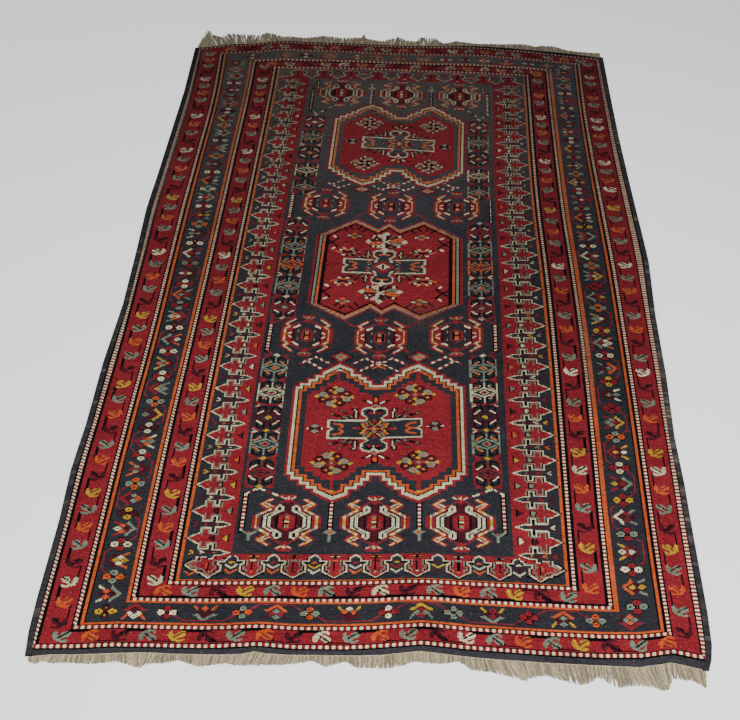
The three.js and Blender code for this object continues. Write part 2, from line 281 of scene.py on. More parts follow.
def chevron(pen, yarns):
    """An arrowhead that points along u, with diamonds behind it and two darts."""
    head, heart, flanks, tail, darts = yarns
    for side in (-1, 1):
        pen.line("d", (14, 0), (-2, side * 11), width=4.0)
        pen.line(head, (23, 0), (6, side * 12), width=5.4)
        pen.area(head, (9, side * 8), (2, side * 11), (5, side * 19), (12, side * 12))
        pen.line(darts, (-22, side * 16), (-11, side * 11), width=4.6)
        pen.diamond(flanks, -5, side * 6.5, 8.5, 5.2)
    pen.diamond(heart, 4, 0, 8, 5.4)
    pen.diamond(tail, -15, 0, 9, 6)
    pen.diamond("k" if tail in "rd" else "d", -15, 0, 2.5, 1.5)


# The flower border up each side: a blossom's side and end yarns, then the next motif's five yarns.
LEFT_FLOWERS = (
    "og dywyo", "cr gdocr", "dy rdgod", "go drgro", "rc rgogc", "dc yddgd", "go rysgs", "rw dogoy",
    "cr gdrwo", "wd rcocs", "rg ogrrg", "rw dcrcr", "sr crdsr", "wd dsdsc", "og rydys", "wr gorws",
    "cs oddcs", "wr dsdsr", "os rogcc", "cd grcgs", "go yrdrs", "dw ogdso", "rs dcrcr", "wr gdocs",
    "og rydys",
)
RIGHT_FLOWERS = (
    "wr dcrcy", "gr cdrds", "yr grdyr", "rc rydwy", "og yrsgr", "rr dsdgw", "ry osdds", "cr srwco",
    "yr dwsgy", "so gdryr", "rr ycrgs", "so cdrcr", "wd gdrso", "yd oddcc", "gr rcdrg", "rc ycdyr",
    "go scdyr", "gr yrdds", "dw rcrco", "rs osdsk", "cd rodgs", "wr gdocs", "og rydys",
)
FLOWER_PITCH_LEFT = 72.6
FLOWER_PITCH_RIGHT = 77.6


def side_flowers(x, first, pitch, flowers, start_side):
    """A vine swings from side to side between blossoms; each motif points at the vine."""
    vine = 29.5
    for number in range(len(flowers)):
        side = start_side if number % 2 == 0 else -start_side
        y = first + number * pitch
        motif = y + pitch / 2
        reach = pitch * 0.25
        sheet.line("r", (x + side * 14, y + 6), (x + side * vine, motif - reach), width=2.6)
        sheet.line("r", (x + side * vine, motif - reach), (x + side * vine, motif + reach), width=3.4)
        sheet.line("r", (x + side * vine, motif + reach), (x + side * 14, y + pitch - 6), width=2.6)
    for number, yarns in enumerate(flowers):
        side = start_side if number % 2 == 0 else -start_side
        y = first + number * pitch
        blossom(Pen(x, y), yarns[0], yarns[1])
        chevron(Pen(x, y + pitch / 2, (side, 0.0), (0.0, 1.0)), yarns[3:])


# The flower bands of the two ends: blossoms with their place and yarns, and motifs with their place,
# heading and yarns.
NEAR_BLOSSOMS = ((244, "wr"), (391, "og"), (525, "go"), (681, "rw"), (810, "gg"), (962, "rr"), (1094, "go"))
NEAR_MOTIFS = (
    (179, 1, "rdwwo"), (318, -1, "gddoo"), (458, 1, "ogrgd"), (603, -1, "ddowy"), (746, 1, "yrsrs"),
    (888, -1, "grdry"), (1030, 1, "ogdgy"), (1163, -1, "rogod"),
)
FAR_BLOSSOMS = ((163, "rw"), (270, "og"), (332, "dw"), (495, "ow"), (630, "oo"), (785, "wr"), (848, "gr"),
                (913, "wo"), (1065, "wr"), (1130, "og"), (1187, "ww"))
FAR_MOTIFS = ((410, -1, "yooyo"), (560, 1, "oyryo"), (710, -1, "yogro"), (990, -1, "ogrgr"))


def end_flowers(blossoms, motifs, y, size):
    for x, yarns in blossoms:
        blossom(Pen(x, y), yarns[0], yarns[1], "r", 0.86, size)
    for x, heading, yarns in motifs:
        pen = Pen(x, y, (0.0, heading * 0.72 * size), (1.35, 0.0))
        chevron(pen, yarns)
    xs = [x for x, yarns in blossoms]
    for number, (left, right) in enumerate(zip(xs, xs[1:])):
        between = [motif for motif in motifs if left < motif[0] < right]
        if not between:
            continue
        heading = between[0][1]
        level = y + heading * 18 * size
        sheet.line("r", (left + 14, y + heading * 5), (left + 33, level), width=2.4)
        sheet.line("r", (left + 33, level), (right - 33, level), width=2.6)
        sheet.line("r", (right - 33, level), (right - 14, y + heading * 5), width=2.4)


# One arrow of the reciprocal border, as half its outline from the tip inwards: u runs along the border and
# v into its depth.
SIDE_ARROW = (
    (0, 0), (11, 20), (12, 25), (24, 25), (24, 47), (13, 47), (13, 56), (26, 56), (26, 69), (32.2, 86),
)
SIDE_LINING = ((7, 30), (20, 31), (20, 41), (10, 41), (9, 61), (21, 62))
SIDE_BARS = ((15, 28, 5, 1.6), (16.5, 43.5, 4, 1.6), (18, 60, 5.5, 1.7), (18, 52, 5, 2.6))
END_ARROW = ((0, 3), (22, 16), (25, 17), (25, 33), (18, 34), (18, 41), (31, 41), (32, 48), (42.3, 55.5))
END_LINING = ((12, 15), (12, 20), (17, 22), (17, 28), (12, 30), (12, 42))
END_BARS = (
    (15.5, 17.5, 2.2, 2.2), (20.5, 24, 1.8, 5.5), (15.5, 35, 1.8, 5), (28, 37, 4.6, 2.0),
    (28, 46.5, 2, 3.4),
)
FAR_ARROW = ((0, 1), (16, 6), (24, 11), (24, 20), (18, 25), (17, 30), (29, 34), (42.3, 44))
# The near border's corner from the field inwards: u runs out to the side, v is the height over the last
# side arrow.
CORNER = (
    (-3, -8), (4, -15), (9, -22), (22, -22), (22, -28), (16, -30), (16, -42), (27, -50), (38, -58),
    (55, -46), (62, -46), (64, -41), (72, -41), (88, -29.5), (73, -19.5), (66, -19), (66, -11), (45, -11),
    (43, -16), (34, -16), (32, -8), (18, -7), (0, 0),
)
CORNER_LINING = (
    (9, -18), (18, -19), (29, -19), (32, -25), (29, -31), (24, -36), (30, -40), (31, -46), (38, -52),
    (46, -45), (51, -39), (59, -37), (66, -37), (80, -30), (70, -24), (58, -21), (57, -14),
)
CORNER_POCKETS = (
    (27, -25, 1.7, 5), (21, -36, 1.6, 4.4), (27, -44, 1.8, 2), (52, -44, 2, 2), (60, -41, 2, 1.8),
    (29, -12, 1.8, 3), (44, -14, 1.8, 2.6), (61, -15, 1.8, 3.6), (84, -29, 2, 1.6), (10, -15, 2, 2),
    (40, -29, 1.6, 6.5),
)
ARROW_YARNS = "oycgydogcyrw"


def arrow(pen, path, lining, bars, depth):
    """A red arrow that points out of the field, with its cream and grey lines."""
    foot = path[-1][0]
    ground = [(u, v + 1.0) for u, v in path] + [(foot, depth), (-foot, depth)]
    pen.area("r", *ground, *[(-u, v + 1.0) for u, v in reversed(path)])
    for half in (pen.moved(0, 0, -1), pen):
        half.line("k", *[(u * 1.02, v - 3.6) for u, v in path[:3]], width=3.0)
        for u, v, half_u, half_v in bars:
            half.block("k", u, v, half_u, half_v)
        half.line("s", *lining, width=2.2)
        half.line("c", *path, width=2.5)


def side_arrow(pen, yarn):
    arrow(pen, SIDE_ARROW, SIDE_LINING, SIDE_BARS, 96)
    pen.oval(yarn[0], 0, 22, 1.9, 1.9)
    pen.area("k", (0, 43), (6, 49), (8, 58), (-8, 58), (-6, 49))
    pen.area(yarn[1], (0, 46), (4.5, 50), (5, 55), (-5, 55), (-4.5, 50))
    pen.area("k", (0, 70), (10, 85), (-10, 85))
    pen.area(yarn[2], (0, 72), (8.6, 83), (-8.6, 83))


def side_filler(pen, yarns):
    """Two chevrons and a streak inside a navy arrow; v runs from the outer edge inwards."""
    pen.area("d", (-2.6, 42), (2.6, 42), (2, 64), (-2, 64))
    for half in (-1, 1):
        for tip, reach, yarn in ((21, 8.5, yarns[0]), (41, 7, yarns[2])):
            pen.line("d", (0, tip), (half * reach, tip - 14), width=3.4)
            pen.line(yarn, (0, tip - 3), (half * reach * 0.5, tip - 10), width=2.6)
    pen.oval(yarns[1], 0, 60, 1.6, 2.4)


def end_arrow(pen, yarn):
    arrow(pen, END_ARROW, END_LINING, END_BARS, FIELD_NEAR - NEAR_ARROWS_OUT)
    pen.line("k", (0, 18), (0, 52), width=3.4)
    pen.block("k", 0, 51, 9, 2.6)
    pen.block(yarn[1], -6, 51, 3.4, 1.8)
    pen.block(yarn[1], 6, 51, 3.4, 1.8)
    pen.block(yarn[2], 0, 42, 5.4, 2.2)
    pen.oval(yarn[0], 0, 16, 2.6, 2.6)


def far_arrow(pen, foot, mark):
    """An arrow of the far border, its foot as wide as given at its outer side."""
    pen.area(
        "r", (0, 2), (11, 7), (12, 24), (17, 31), (43, 45), (43, 47), (-foot, 47), (-foot, 45), (-17, 31),
        (-12, 24), (-11, 7),
    )
    for half in (-1, 1):
        pen.block("k", half * 18, 14, 2.6, 4.6)
        pen.line("c", *[(half * u, v) for u, v in FAR_ARROW[:-1]], width=2.5)
    pen.line("c", (29, 34), (43, 45), width=2.5)
    pen.line("c", (-29, 34), (-foot, 45 if foot < 45 else 41), width=2.5)
    pen.line("k", (0, 12), (0, 32), width=3.0)
    pen.oval(mark, 0, 39, 2.8, 3.4)


def end_filler(pen, depth_scale, yarns):
    for half in (-1, 1):
        pen.line(yarns[2], (0, 13 * depth_scale), (half * 12, 21 * depth_scale), width=3.6)
        pen.line(yarns[1], (0, 24 * depth_scale), (half * 11, 32 * depth_scale), width=3.6)
    pen.oval(yarns[0], 0, 37 * depth_scale, 6, 2.6)


FIELD_LEFT = 352.0
FIELD_RIGHT = 938.0
FIELD_NEAR = 205.0
FIELD_FAR = 1846.0
ARROW_OUT_LEFT = 257.0
ARROW_OUT_RIGHT = 1040.5
SIDE_ARROW_FIRST = 240.0       # the first red arrow past the corner
SIDE_ARROW_PITCH = 64.4
SIDE_ARROW_COUNT = 25
NEAR_ARROWS_OUT = 148.0        # the outer side of the near arrows, and of the far ones
FAR_ARROWS_OUT = 1891.5
FAR_FILLER_SCALE = 0.79
END_ARROW_FIRST = 398.0
END_ARROW_PITCH = 84.6
END_ARROW_COUNT = 7
NEAR_FILLERS = ("yco", "rco", "oyc", "rco", "yrc", "dyd", "oco", "cdc")
DOT_YARNS = "odgro"
BELL_YARNS = "dgcgcdc"
LEFT_TRIANGLES = "ygyodgywodgdygodgcgdgowogg"
RIGHT_TRIANGLES = "wdgyodgodgdocgdgodgdwywogg"
FAR_FILLERS = ("dbr", "brd", "rob", "bdd")
SIDE_FILLERS = ("yoc", "dcr", "scy", "ror", "csr", "ryo", "drc", "ocs", "crd", "yor")


def reciprocal():
    """Red arrows that point out of the field, between navy ones that point in, and the corners."""
    sheet.area("r", (342, 146), (FIELD_LEFT, 146), (FIELD_LEFT, 1894), (342, 1894))
    sheet.area("r", (FIELD_RIGHT, 146), (949, 146), (949, 1894), (FIELD_RIGHT, 1894))
    sheet.area("n", (342, 150), (948, 150), (948, 1892), (342, 1892))
    left = Pen(ARROW_OUT_LEFT, 0, (0.0, 1.0), (1.0, 0.0))
    right = Pen(ARROW_OUT_RIGHT, 0, (0.0, 1.0), (-1.09, 0.0))
    sides = ((left, 0, LEFT_TRIANGLES), (right, 5, RIGHT_TRIANGLES))
    for pen, shift, triangles in sides:
        for number in range(SIDE_ARROW_COUNT + 1):
            y = SIDE_ARROW_FIRST - SIDE_ARROW_PITCH / 2 + number * SIDE_ARROW_PITCH
            side_filler(pen.moved(y, 0), SIDE_FILLERS[(number * 3 + shift) % len(SIDE_FILLERS)])
        for number in range(SIDE_ARROW_COUNT + 1):
            y = SIDE_ARROW_FIRST + number * SIDE_ARROW_PITCH
            at = (number * 5 + shift) % len(ARROW_YARNS)
            yarn = (DOT_YARNS[at % len(DOT_YARNS)], BELL_YARNS[at % len(BELL_YARNS)], triangles[number])
            side_arrow(pen.moved(y, 0), yarn)
    near = Pen(0, NEAR_ARROWS_OUT)
    far = Pen(0, FAR_ARROWS_OUT, (1.0, 0.0), (0.0, -1.0))
    sheet.area("n", (300, FIELD_FAR), (996, FIELD_FAR), (996, 1892), (300, 1892))
    for number in range(END_ARROW_COUNT + 1):
        x = END_ARROW_FIRST + (number - 0.5) * END_ARROW_PITCH
        end_filler(near.moved(x, 0), 1.0, NEAR_FILLERS[number])
        end_filler(far.moved(x, -2), FAR_FILLER_SCALE, FAR_FILLERS[number % len(FAR_FILLERS)])
    for number in range(END_ARROW_COUNT):
        x = END_ARROW_FIRST + number * END_ARROW_PITCH
        at = (number * 5) % len(ARROW_YARNS)
        end_arrow(near.moved(x, 0), (ARROW_YARNS * 2)[at:at + 3])
        far_arrow(far.moved(x, 0), 43, "kgkwkgk"[number])
    for side, foot in ((-1, 58), (1, 49)):
        near_corner(Pen(651 + side * 301, 208.5, (float(side), 0.0)))
        corner = far.moved(654.5 + side * 337.5, 0, -side, 1)
        corner.area("n", (-foot - 4, -1), (-foot - 4, 38), (-30, 32), (-16, 28), (-12, 8), (-12, -1))
        far_arrow(corner, foot, "k")
    sheet.line("o", (265, 164), (274, 157), (284, 163), width=3.4)


def near_corner(pen):
    """Two arrows joined at the near border's corner."""
    pen.area("r", (-12, 2), (-12, -8), *CORNER, (-8, 2))
    pen.line("k", (9, -46), (27, -54), (38, -62), (56, -50), (72, -45), (90, -33), (90, -27), (76, -16),
             width=3.0)
    pen.line("c", *CORNER, width=2.5)
    pen.line("s", *CORNER_LINING, width=2.2)
    for u, v, half_u, half_v in CORNER_POCKETS:
        pen.block("k", u, v, half_u, half_v)
    pen.line("k", (40, -34), (40, -43), width=3.0)
    pen.area("o", (42.5, -23), (47, -27), (47, -32), (42.5, -36))
    pen.oval("k", 50, -31, 1.8, 1.8)
    pen.oval("s", 68, -31, 1.9, 1.9)
    pen.oval("y", 39, -45, 2.0, 2.0)
    pen.oval("r", 27, -36, 2.4, 1.8)


# The outer edge of a stepped medallion's near half, as distances from its middle: side, steps, tip, notch.
STEPS_NEAR = (
    (-203, 129), (-192, 129), (-192, 141), (-175, 141), (-175, 153), (-158, 153), (-158, 165),
    (-142, 165), (-142, 171), (-95, 196), (-52, 178), (-52, 165), (-35, 165), (-35, 153), (-21, 153),
    (-21, 141), (-9, 141), (-9, 128), (0, 128),
)
STEPS_FAR = (
    (-203, 117), (-192, 117), (-192, 128), (-175, 128), (-175, 140), (-158, 140), (-158, 152),
    (-142, 152), (-142, 162), (-95, 191), (-52, 172), (-52, 160), (-35, 160), (-35, 150), (-21, 150),
    (-21, 140), (-9, 140), (-9, 128), (0, 128),
)
STEP_RINGS = (("r", 2, 2), ("c", 2, 3), ("k", 1, 1), ("o", 2, 2), ("n", 4, 4))


def shape_of(pen, points):
    """Which knots lie in a polygon."""
    before = chart.copy()
    chart[:] = "?"
    pen.area("#", *points)
    inside = chart == "#"
    chart[:] = before
    return inside


def shrunk(inside, columns, rows):
    """The same shape with a margin taken off its sides, and off its near and far edges."""
    for _ in range(columns):
        inside = inside & np.roll(inside, 1, axis=1) & np.roll(inside, -1, axis=1)
    for _ in range(rows):
        inside = inside & np.roll(inside, 1, axis=0) & np.roll(inside, -1, axis=0)
    return inside


def rings(inside, layers):
    """Paints a shape as nested lines, outermost first, and gives back what is left in the middle."""
    for colour, columns, rows in layers:
        chart[inside] = colour
        inside = shrunk(inside, columns, rows)
    return inside


def medallion_shape(pen, near, far):
    inside = np.zeros(chart.shape, bool)
    for end, outline in ((-1, near), (1, far)):
        for side in (-1, 1):
            quarter = pen.moved(0, 0, -side, end)
            inside |= shape_of(quarter, [(outline[0][0], -3), *outline, (4, outline[-1][1]), (4, -3)])
    return inside


def stepped_medallion(pen, slope, centre, berries, yarns, cross_yarns):
    ground = rings(medallion_shape(pen, STEPS_NEAR, STEPS_FAR), STEP_RINGS)
    ground &= np.abs(KNOT_Y[:, None] - pen.y) < 137
    chart[ground] = "r"
    for side in (-1, 1):
        for end in (-1, 1):
            tip = pen.moved(side * 95, 0, side, end)
            tip.line("r", (0, 126), (0, 162), width=7.6)
            tip.area("y" if end < 0 else "c", (-8, 164), (8, 164), (0, 171))
    for side, end, u, v in berries:
        if yarns:
            cluster(pen.moved(u, v, side, end), *yarns)
        else:
            mirrored = (side, end) == (-1, 1)
            dotted_cluster(pen.moved(u, v, -1 if mirrored else 1))
    small_cross(pen.moved(centre - 137, 150 * slope), *cross_yarns)
    small_cross(pen.moved(centre + 138, -200 * slope), *cross_yarns)
    for end in (-1, 1):
        pendant(pen.moved(centre + 3, 0, 1, end))
    central_cross(pen.moved(centre, -1), "r", slope)
    star(Pen(pen.x + centre, pen.y))


def pendant(pen):
    """The navy cap inside each notch, with an orange pendant and two darts."""
    pen.area("n", (-40, 108), (40, 108), (40, 101), (18, 101), (18, 95), (7, 95), (7, 86), (-7, 86), (-7, 95),
             (-18, 95), (-18, 101), (-40, 101))
    pen.area("k", (-8, 92), (8, 92), (8, 68), (-8, 68))
    pen.line("oro", (0, 85), (0, 67), width=8)
    pen.line("g", (-9, 63), (0, 67), (9, 63), width=3.4)
    for side in (-1, 1):
        pen.line("k", (side * 30, 80), (side * 10, 70), width=5)
        pen.line("w", (side * 19, 77), (side * 11, 72), width=4)


def cluster(pen, pale, bright, dark):
    """A bunch of ringed berries: pale, dark and small bright ones."""
    pales = ((28, 6), (-12, 20), (-28, -6), (11, -20))
    darks = ((28, -9), (11, 18), (-28, 9), (-12, -18))
    brights = ((-42, 0), (42, 0), (-19, 0), (19, 0), (0, 12), (0, -12), (0, 27), (0, -27))
    for u, v in pales + darks:
        pen.oval("k", u, v, 12.5, 9.5)
    pen.oval("d", 0, 0, 28, 14)
    pen.oval("r", 0, 0, 12, 8)
    for u, v in darks:
        pen.oval(dark, u, v, 10, 7)
        pen.oval("r", u, v, 6, 4)
        pen.oval(bright, u, v, 3.2, 2.2)
    for u, v in pales:
        pen.oval(pale, u, v, 10.6, 7.6)
        pen.oval("o", u, v, 4.2, 2.8)
    for u, v in brights:
        pen.diamond(bright, u, v, 6.4, 5)
    pen.diamond("g", 0, 0, 5.4, 4)


DIAMOND = ((1, 0), (0, 1), (-1, 0), (0, -1), (1, 0))    # its corners in turn
# Places in one half of a far cluster; the other half repeats them turned about the middle.
CLUSTER_FLOWERS = ((14, 19), (26, -8))
CLUSTER_DOTS = ((0, 28), (38, 0), (0, 12), (14, 0), (-12, 20), (27, 8))


def dotted_cluster(pen):
    """Dark dots along two nested diamonds, with pale dots and small flowers among them."""
    for reach_u, reach_v, count in ((38, 28, 16), (19, 13, 8)):
        for number in range(1, count, 2):
            corner, part = divmod(4 * number / count, 1)
            first, second = DIAMOND[int(corner)], DIAMOND[int(corner) + 1]
            u = (first[0] * (1 - part) + second[0] * part) * reach_u
            v = (first[1] * (1 - part) + second[1] * part) * reach_v
            pen.oval("k", u, v, 6.2, 4.6)
    for half in (-1, 1):
        for u, v in CLUSTER_FLOWERS:
            pen.oval("g", half * u, half * v, 10, 6.5)
            pen.oval("o", half * u, half * v, 4.6, 3)
        for u, v in CLUSTER_DOTS:
            pen.oval("k", half * u, half * v, 6.2, 4.6)
            pen.oval("c", half * u, half * v, 4.9, 3.6)
    pen.diamond("g", 0, 0, 7, 5)


def small_cross(pen, ends, sides, tips):
    for half in (-1, 1):
        pen.oval("k", 0, half * 7, 9, 6)
        pen.oval("k", half * 11, 0, 8, 6)
    for half in (-1, 1):
        pen.oval(ends, 0, half * 7.4, 7.4, 4.6)
        pen.oval(sides, half * 10, 0, 5.4, 4.4)
        pen.diamond(tips, half * 16.5, 0, 2.8, 3)
    pen.block("o", 0, 0, 1.8, 1.6)


def feathers(pen):
    """Striped sprays that fan out between a lobe and the bar; the pen's corner is the lobe's root."""
    for u, yarn in ((-37, "d"), (-42, "c"), (-47, "b")):
        pen.line("k", (u - 2, 6), (u - 1, 16), (u - 4, 31), width=4.8)
        pen.line(yarn, (u - 1, 8), (u, 18), (u - 3, 29), width=2.6)
    pen.line("k", (-50, 7), (-80, 28), width=6.2)
    pen.line("sbdbs", (-51, 8), (-79, 27), width=3.4)
    pen.line("k", (-56, 5), (-101, 16), width=6.2)
    pen.line("dsbkdsb", (-57, 5), (-100, 16), width=3.4)
    pen.line("dkskdkbk", (-44, 1), (-101, 2), width=4.4)


def central_cross(pen, spots, shift):
    """The long navy bar with hooked ends, and a heart-shaped lobe above and below."""
    slope = Pen(pen.x, pen.y, (1.0, -shift), pen.along)
    for quarter in slope.quarters():
        feathers(quarter.moved(0, 25))
    for quarter in slope.quarters():
        quarter.area("c", (0, 0), (-99, 0), (-109, 5), (-109, 27), (-26, 26), (-18, 31), (-30, 39), (-31, 53),
                     (-24, 60), (-9, 62), (0, 57))
        quarter.area("n", (0, 0), (-94, 0), (-104, 7), (-104, 22.5), (-20, 21.5), (-13, 31), (-26, 40),
                     (-27, 51), (-21, 56), (-10, 58), (-4, 53), (0, 44))
        quarter.oval("k", -9, 47, 10, 7)
        quarter.oval(spots, -9.5, 45, 6.4, 4)
        quarter.line("o", (-93, 15), (-79, 12), (-72, 7), (-82, 1), width=5)
    slope.line("o", (95, 0), (82, 0), width=4.6)
    for end in (-1, 1):
        slope.line("c", (0, end * 56), (0, end * 46), width=5)


STAR_SPOKES = "ryksroyk"


def star(pen):
    """A stepped star of slanting dashes around a small cross."""
    pen.diamond("d", 0, 0, 40, 23)
    spokes = len(STAR_SPOKES) - 1
    for quarter in pen.quarters():
        for spoke in range(spokes):
            share = (spoke + 0.5) / spokes
            inner = (20 * share + 3, 13 * (1 - share) + 2)
            outer = (inner[0] + 13, inner[1] + 8)
            quarter.line(STAR_SPOKES[spoke], inner, outer, width=2.8)
            quarter.line(STAR_SPOKES[spoke + 1], (inner[0] + 7, inner[1] + 4.5), outer, width=2.8)
    for side in (-1, 1):
        pen.diamond("r", side * 38, 0, 9, 4.4)
        pen.diamond("r", 0, side * 21, 6, 6)
        pen.oval("o", side * 47, 0, 2.6, 1.8)
        pen.oval("o", 0, side * 25, 2.4, 1.8)
        pen.area("g", (-7, side * 6), (7, side * 6), (0, side * 12))
        pen.diamond("g", side * 17, 0, 5, 2.6)
    pen.block("o", 0, 0, 12, 2.6)
    pen.block("o", 0, 0, 4, 5)
    pen.block("c", 0, 0, 2.4, 2.2)


# The middle medallion has a plain zigzag outline. Its nested lines: yarn, distance in from a side, and from
# a slope.
ZIGZAG_NEAR = ((-199, 136), (-94, 190), (-30, 147), (0, 167))
ZIGZAG_FAR = ((-199, 108), (-94, 181), (-30, 147), (0, 171))
ZIGZAG_LINES = (("r", 0, 0), ("k", 6.5, 6), ("g", 9.8, 6), ("k", 16.3, 12), ("o", 19.5, 12), ("k", 26, 18),
                ("r", 36, 25))
# What fills its quarters: side and end, then the places of the cross, the hooked cross and the chevrons.
ZIGZAG_FILLINGS = (
    (-1, 1, (93, 113), (153, 84), (107, 53)), (1, 1, (90, 112), (150, 84), (95, 54)),
    (-1, -1, (105, 124), (158, 94), (110, 57)), (1, -1, (91, 125), (148, 97), (98, 55)),
)


def zigzag_medallion(pen):
    for yarn, side_inset, slope_inset in ZIGZAG_LINES:
        near, far = (
            [(u + side_inset if u < -150 else u, v - (slope_inset if u > -150 else 0)) for u, v in outline]
            for outline in (ZIGZAG_NEAR, ZIGZAG_FAR)
        )
        chart[medallion_shape(pen, near, far)] = yarn
    for side, end, cross, hooks, chevrons in ZIGZAG_FILLINGS:
        quarter = pen.moved(0, 0, side, end)
        for u, v in ((32, 140), (17, 149)):
            for turn in (-1, 1):
                quarter.line("k", (93 + turn * u, v), (93 + turn * (u - 11), v - 11), width=5)
        hooked_cross(quarter.moved(*hooks))
        small_cross(quarter.moved(*cross), "o", "g", "w")
        dashed_chevrons(quarter.moved(*chevrons))
    palmette(pen.moved(-4, 96))
    palmette(pen.moved(-8, -90, 1, -1))
    heart = pen.moved(-6, 2)
    central_cross(heart, "o", 0.0)
    for quarter in heart.quarters():
        for yarn, u, v in (("w", 19, 20), ("d", 26, 15), ("g", 33, 10), ("b", 22, 27), ("o", 36, 18)):
            quarter.line(yarn, (u, v), (u + 8, v - 5), width=3.2)
    for side in (-1, 1):
        heart.line("rd", (side * 26, 0), (side * 46, 0), width=4.4)
    heart.diamond("r", 0, 0, 32, 25)
    heart.diamond("d", 0, 0, 24, 15)
    heart.diamond("c", 0, 0, 20, 12)
    heart.line("d", (0, 7), (0, -7), width=5)


def hooked_cross(pen):
    """A dark cross whose inner arms hook back to a white end; it touches the dark line beside it."""
    for end in (-1, 1):
        pen.line("k", (12, -end * 9), (0, 0), (-16, end * 15), (-9, end * 21), width=4.8)
        pen.line("w", (-9, end * 20), (-3, end * 24), width=5.6)


# Nested chevrons: yarns, place of the point, and reach and place of the arms' ends.
DASHED_CHEVRONS = (("oc", 3, 14, 13), ("kkw", -4, 25, 7), ("orgo", -11, 33, 0), ("dw", -18, 15, -12))


def dashed_chevrons(pen):
    """Four nested dashed chevrons that open away from the middle."""
    for yarns, low, reach, high in DASHED_CHEVRONS:
        for side in (-1, 1):
            pen.line(yarns, (0, low), (side * reach, high), width=5.4)


# Petals, counterclockwise from the right: yarn, yarn of the spots, and outline.
PETALS = (
    ("o", "b", ((6, 2), (26, 12), (44, 14), (48, 8), (46, -1), (22, -3))),
    ("d", "s", ((3, 6), (8, 26), (24, 22), (21, 13))),
    ("c", "o", ((-2, 6), (-4, 27), (-24, 27), (-24, 18))),
    ("d", "c", ((-6, 4), (-24, 14), (-38, 16), (-43, 3))),
    ("o", "b", ((-6, -2), (-22, 0), (-45, -3), (-47, -12), (-30, -16))),
    ("c", "r", ((-3, -7), (-24, -15), (-23, -27), (-3, -24))),
    ("d", "s", ((3, -7), (3, -25), (20, -30), (30, -25))),
    ("s", "r", ((8, -4), (46, -6), (42, -16), (26, -16))),
)


def palmette(pen):
    """Eight petals around a small cross, with pale diamonds at the four ends."""
    pen.oval("k", 0, 0, 45, 26)
    pen.oval("d", 0, 0, 38, 22)
    for yarn, spots, outline in PETALS:
        pen.area(yarn, *outline)
        for reach in (0.95, 1.35):
            u = sum(point[0] for point in outline) / len(outline) * reach
            v = sum(point[1] for point in outline) / len(outline) * reach
            pen.oval(spots, u, v, 3.4, 2.4)
    pen.line("k", (3, 8), (3, 22), width=4.4)
    pen.line("k", (2, -8), (2, -20), width=4.4)
    for half in (-1, 1):
        pen.diamond("c", half * 49, -2, 10, 8)
        pen.diamond("c", 0, half * 30, 10.5, 8)
        for side in (-1, 1):
            pen.oval("k", half * 38, side * 20, 5.6, 4)
            pen.diamond("w", half * 34.5, side * 19, 5, 5)
    pen.line("c", (-10, -6), (10, 6), width=4)
    pen.line("c", (-10, 7), (10, -6), width=4)


# The blocks in a hooked gul's middle: yarn, place and half height. Each is painted over the one before it.
GUL_BOX = (("g", 12.4, 2.2), ("o", 7.6, 2.8), ("w", 0, 2.6), ("o", -7.6, 2.8), ("g", -12.4, 2.2))


def hooked_gul(pen):
    """A long octagon with curled cream lines inside and four claws."""
    for quarter in pen.quarters():
        quarter.area("r", (74, 0), (74, 14), (47, 27), (64, 42), (41, 58), (27, 54), (30, 52), (42, 45),
                     (27, 37), (25, 30), (55, 14), (55, 0))
        quarter.line("r", (29, 38), (14, 47), (5, 53), width=3.6)
        quarter.line("ycgc", (64, 0), (64, 14), (36, 30), width=4.4)
        quarter.line("yc", (37, 32), (57, 43), (34, 55), width=3.6)
        quarter.line("c", (51, 46), (33, 37), width=2.8)
        quarter.area("n", (38, 45), (31, 41), (25, 45), (31, 48))
        quarter.area("k", (54, 0), (54, 13), (29, 27), (24, 34), (20, 42), (8, 42), (8, 0))
        quarter.area("c", (51, 0), (51, 13), (27, 26), (27, 34), (18, 42), (9, 37), (9, 26), (35, 12),
                     (35, 0))
        quarter.line("k", (43, 0), (43, 12), (33, 18), width=3.2)
        quarter.line("s", (33, 19), (20, 27), width=2.2)
        quarter.area("k", (20.5, 27), (20.5, 36), (15.5, 36), (15.5, 27))
        quarter.area("d", (33, 0), (33, 12), (9, 26), (8, 46), (0, 46), (0, 0))
        quarter.line("k", (20.5, 0), (20.5, 14), width=3.2)
    pen.area("r", (-17, 13), (0, 22), (17, 13), (17, -13), (0, -22), (-17, -13))
    pen.area("k", (-7, 14), (7, 14), (7, -14), (-7, -14))
    for yarn, v, half_v in GUL_BOX:
        pen.block(yarn, 0, v, 5, half_v)
    crown(pen.moved(0, 0), "c")
    crown(pen.moved(0, -2, 1, -1), "c")


def crown(pen, yarn):
    """The small ornament at a gul's top and bottom."""
    pen.area("r", (-13, 67), (13, 67), (20, 60), (8, 53), (3, 44), (-3, 44), (-8, 53), (-20, 60))
    for side in (-1, 1):
        pen.line(yarn, (side * 15, 60.5), (side * 7, 56), width=3.2)
    pen.diamond(yarn, 0, 58, 4.5, 5)
    pen.block("y", 0, 59, 1.7, 1.2)


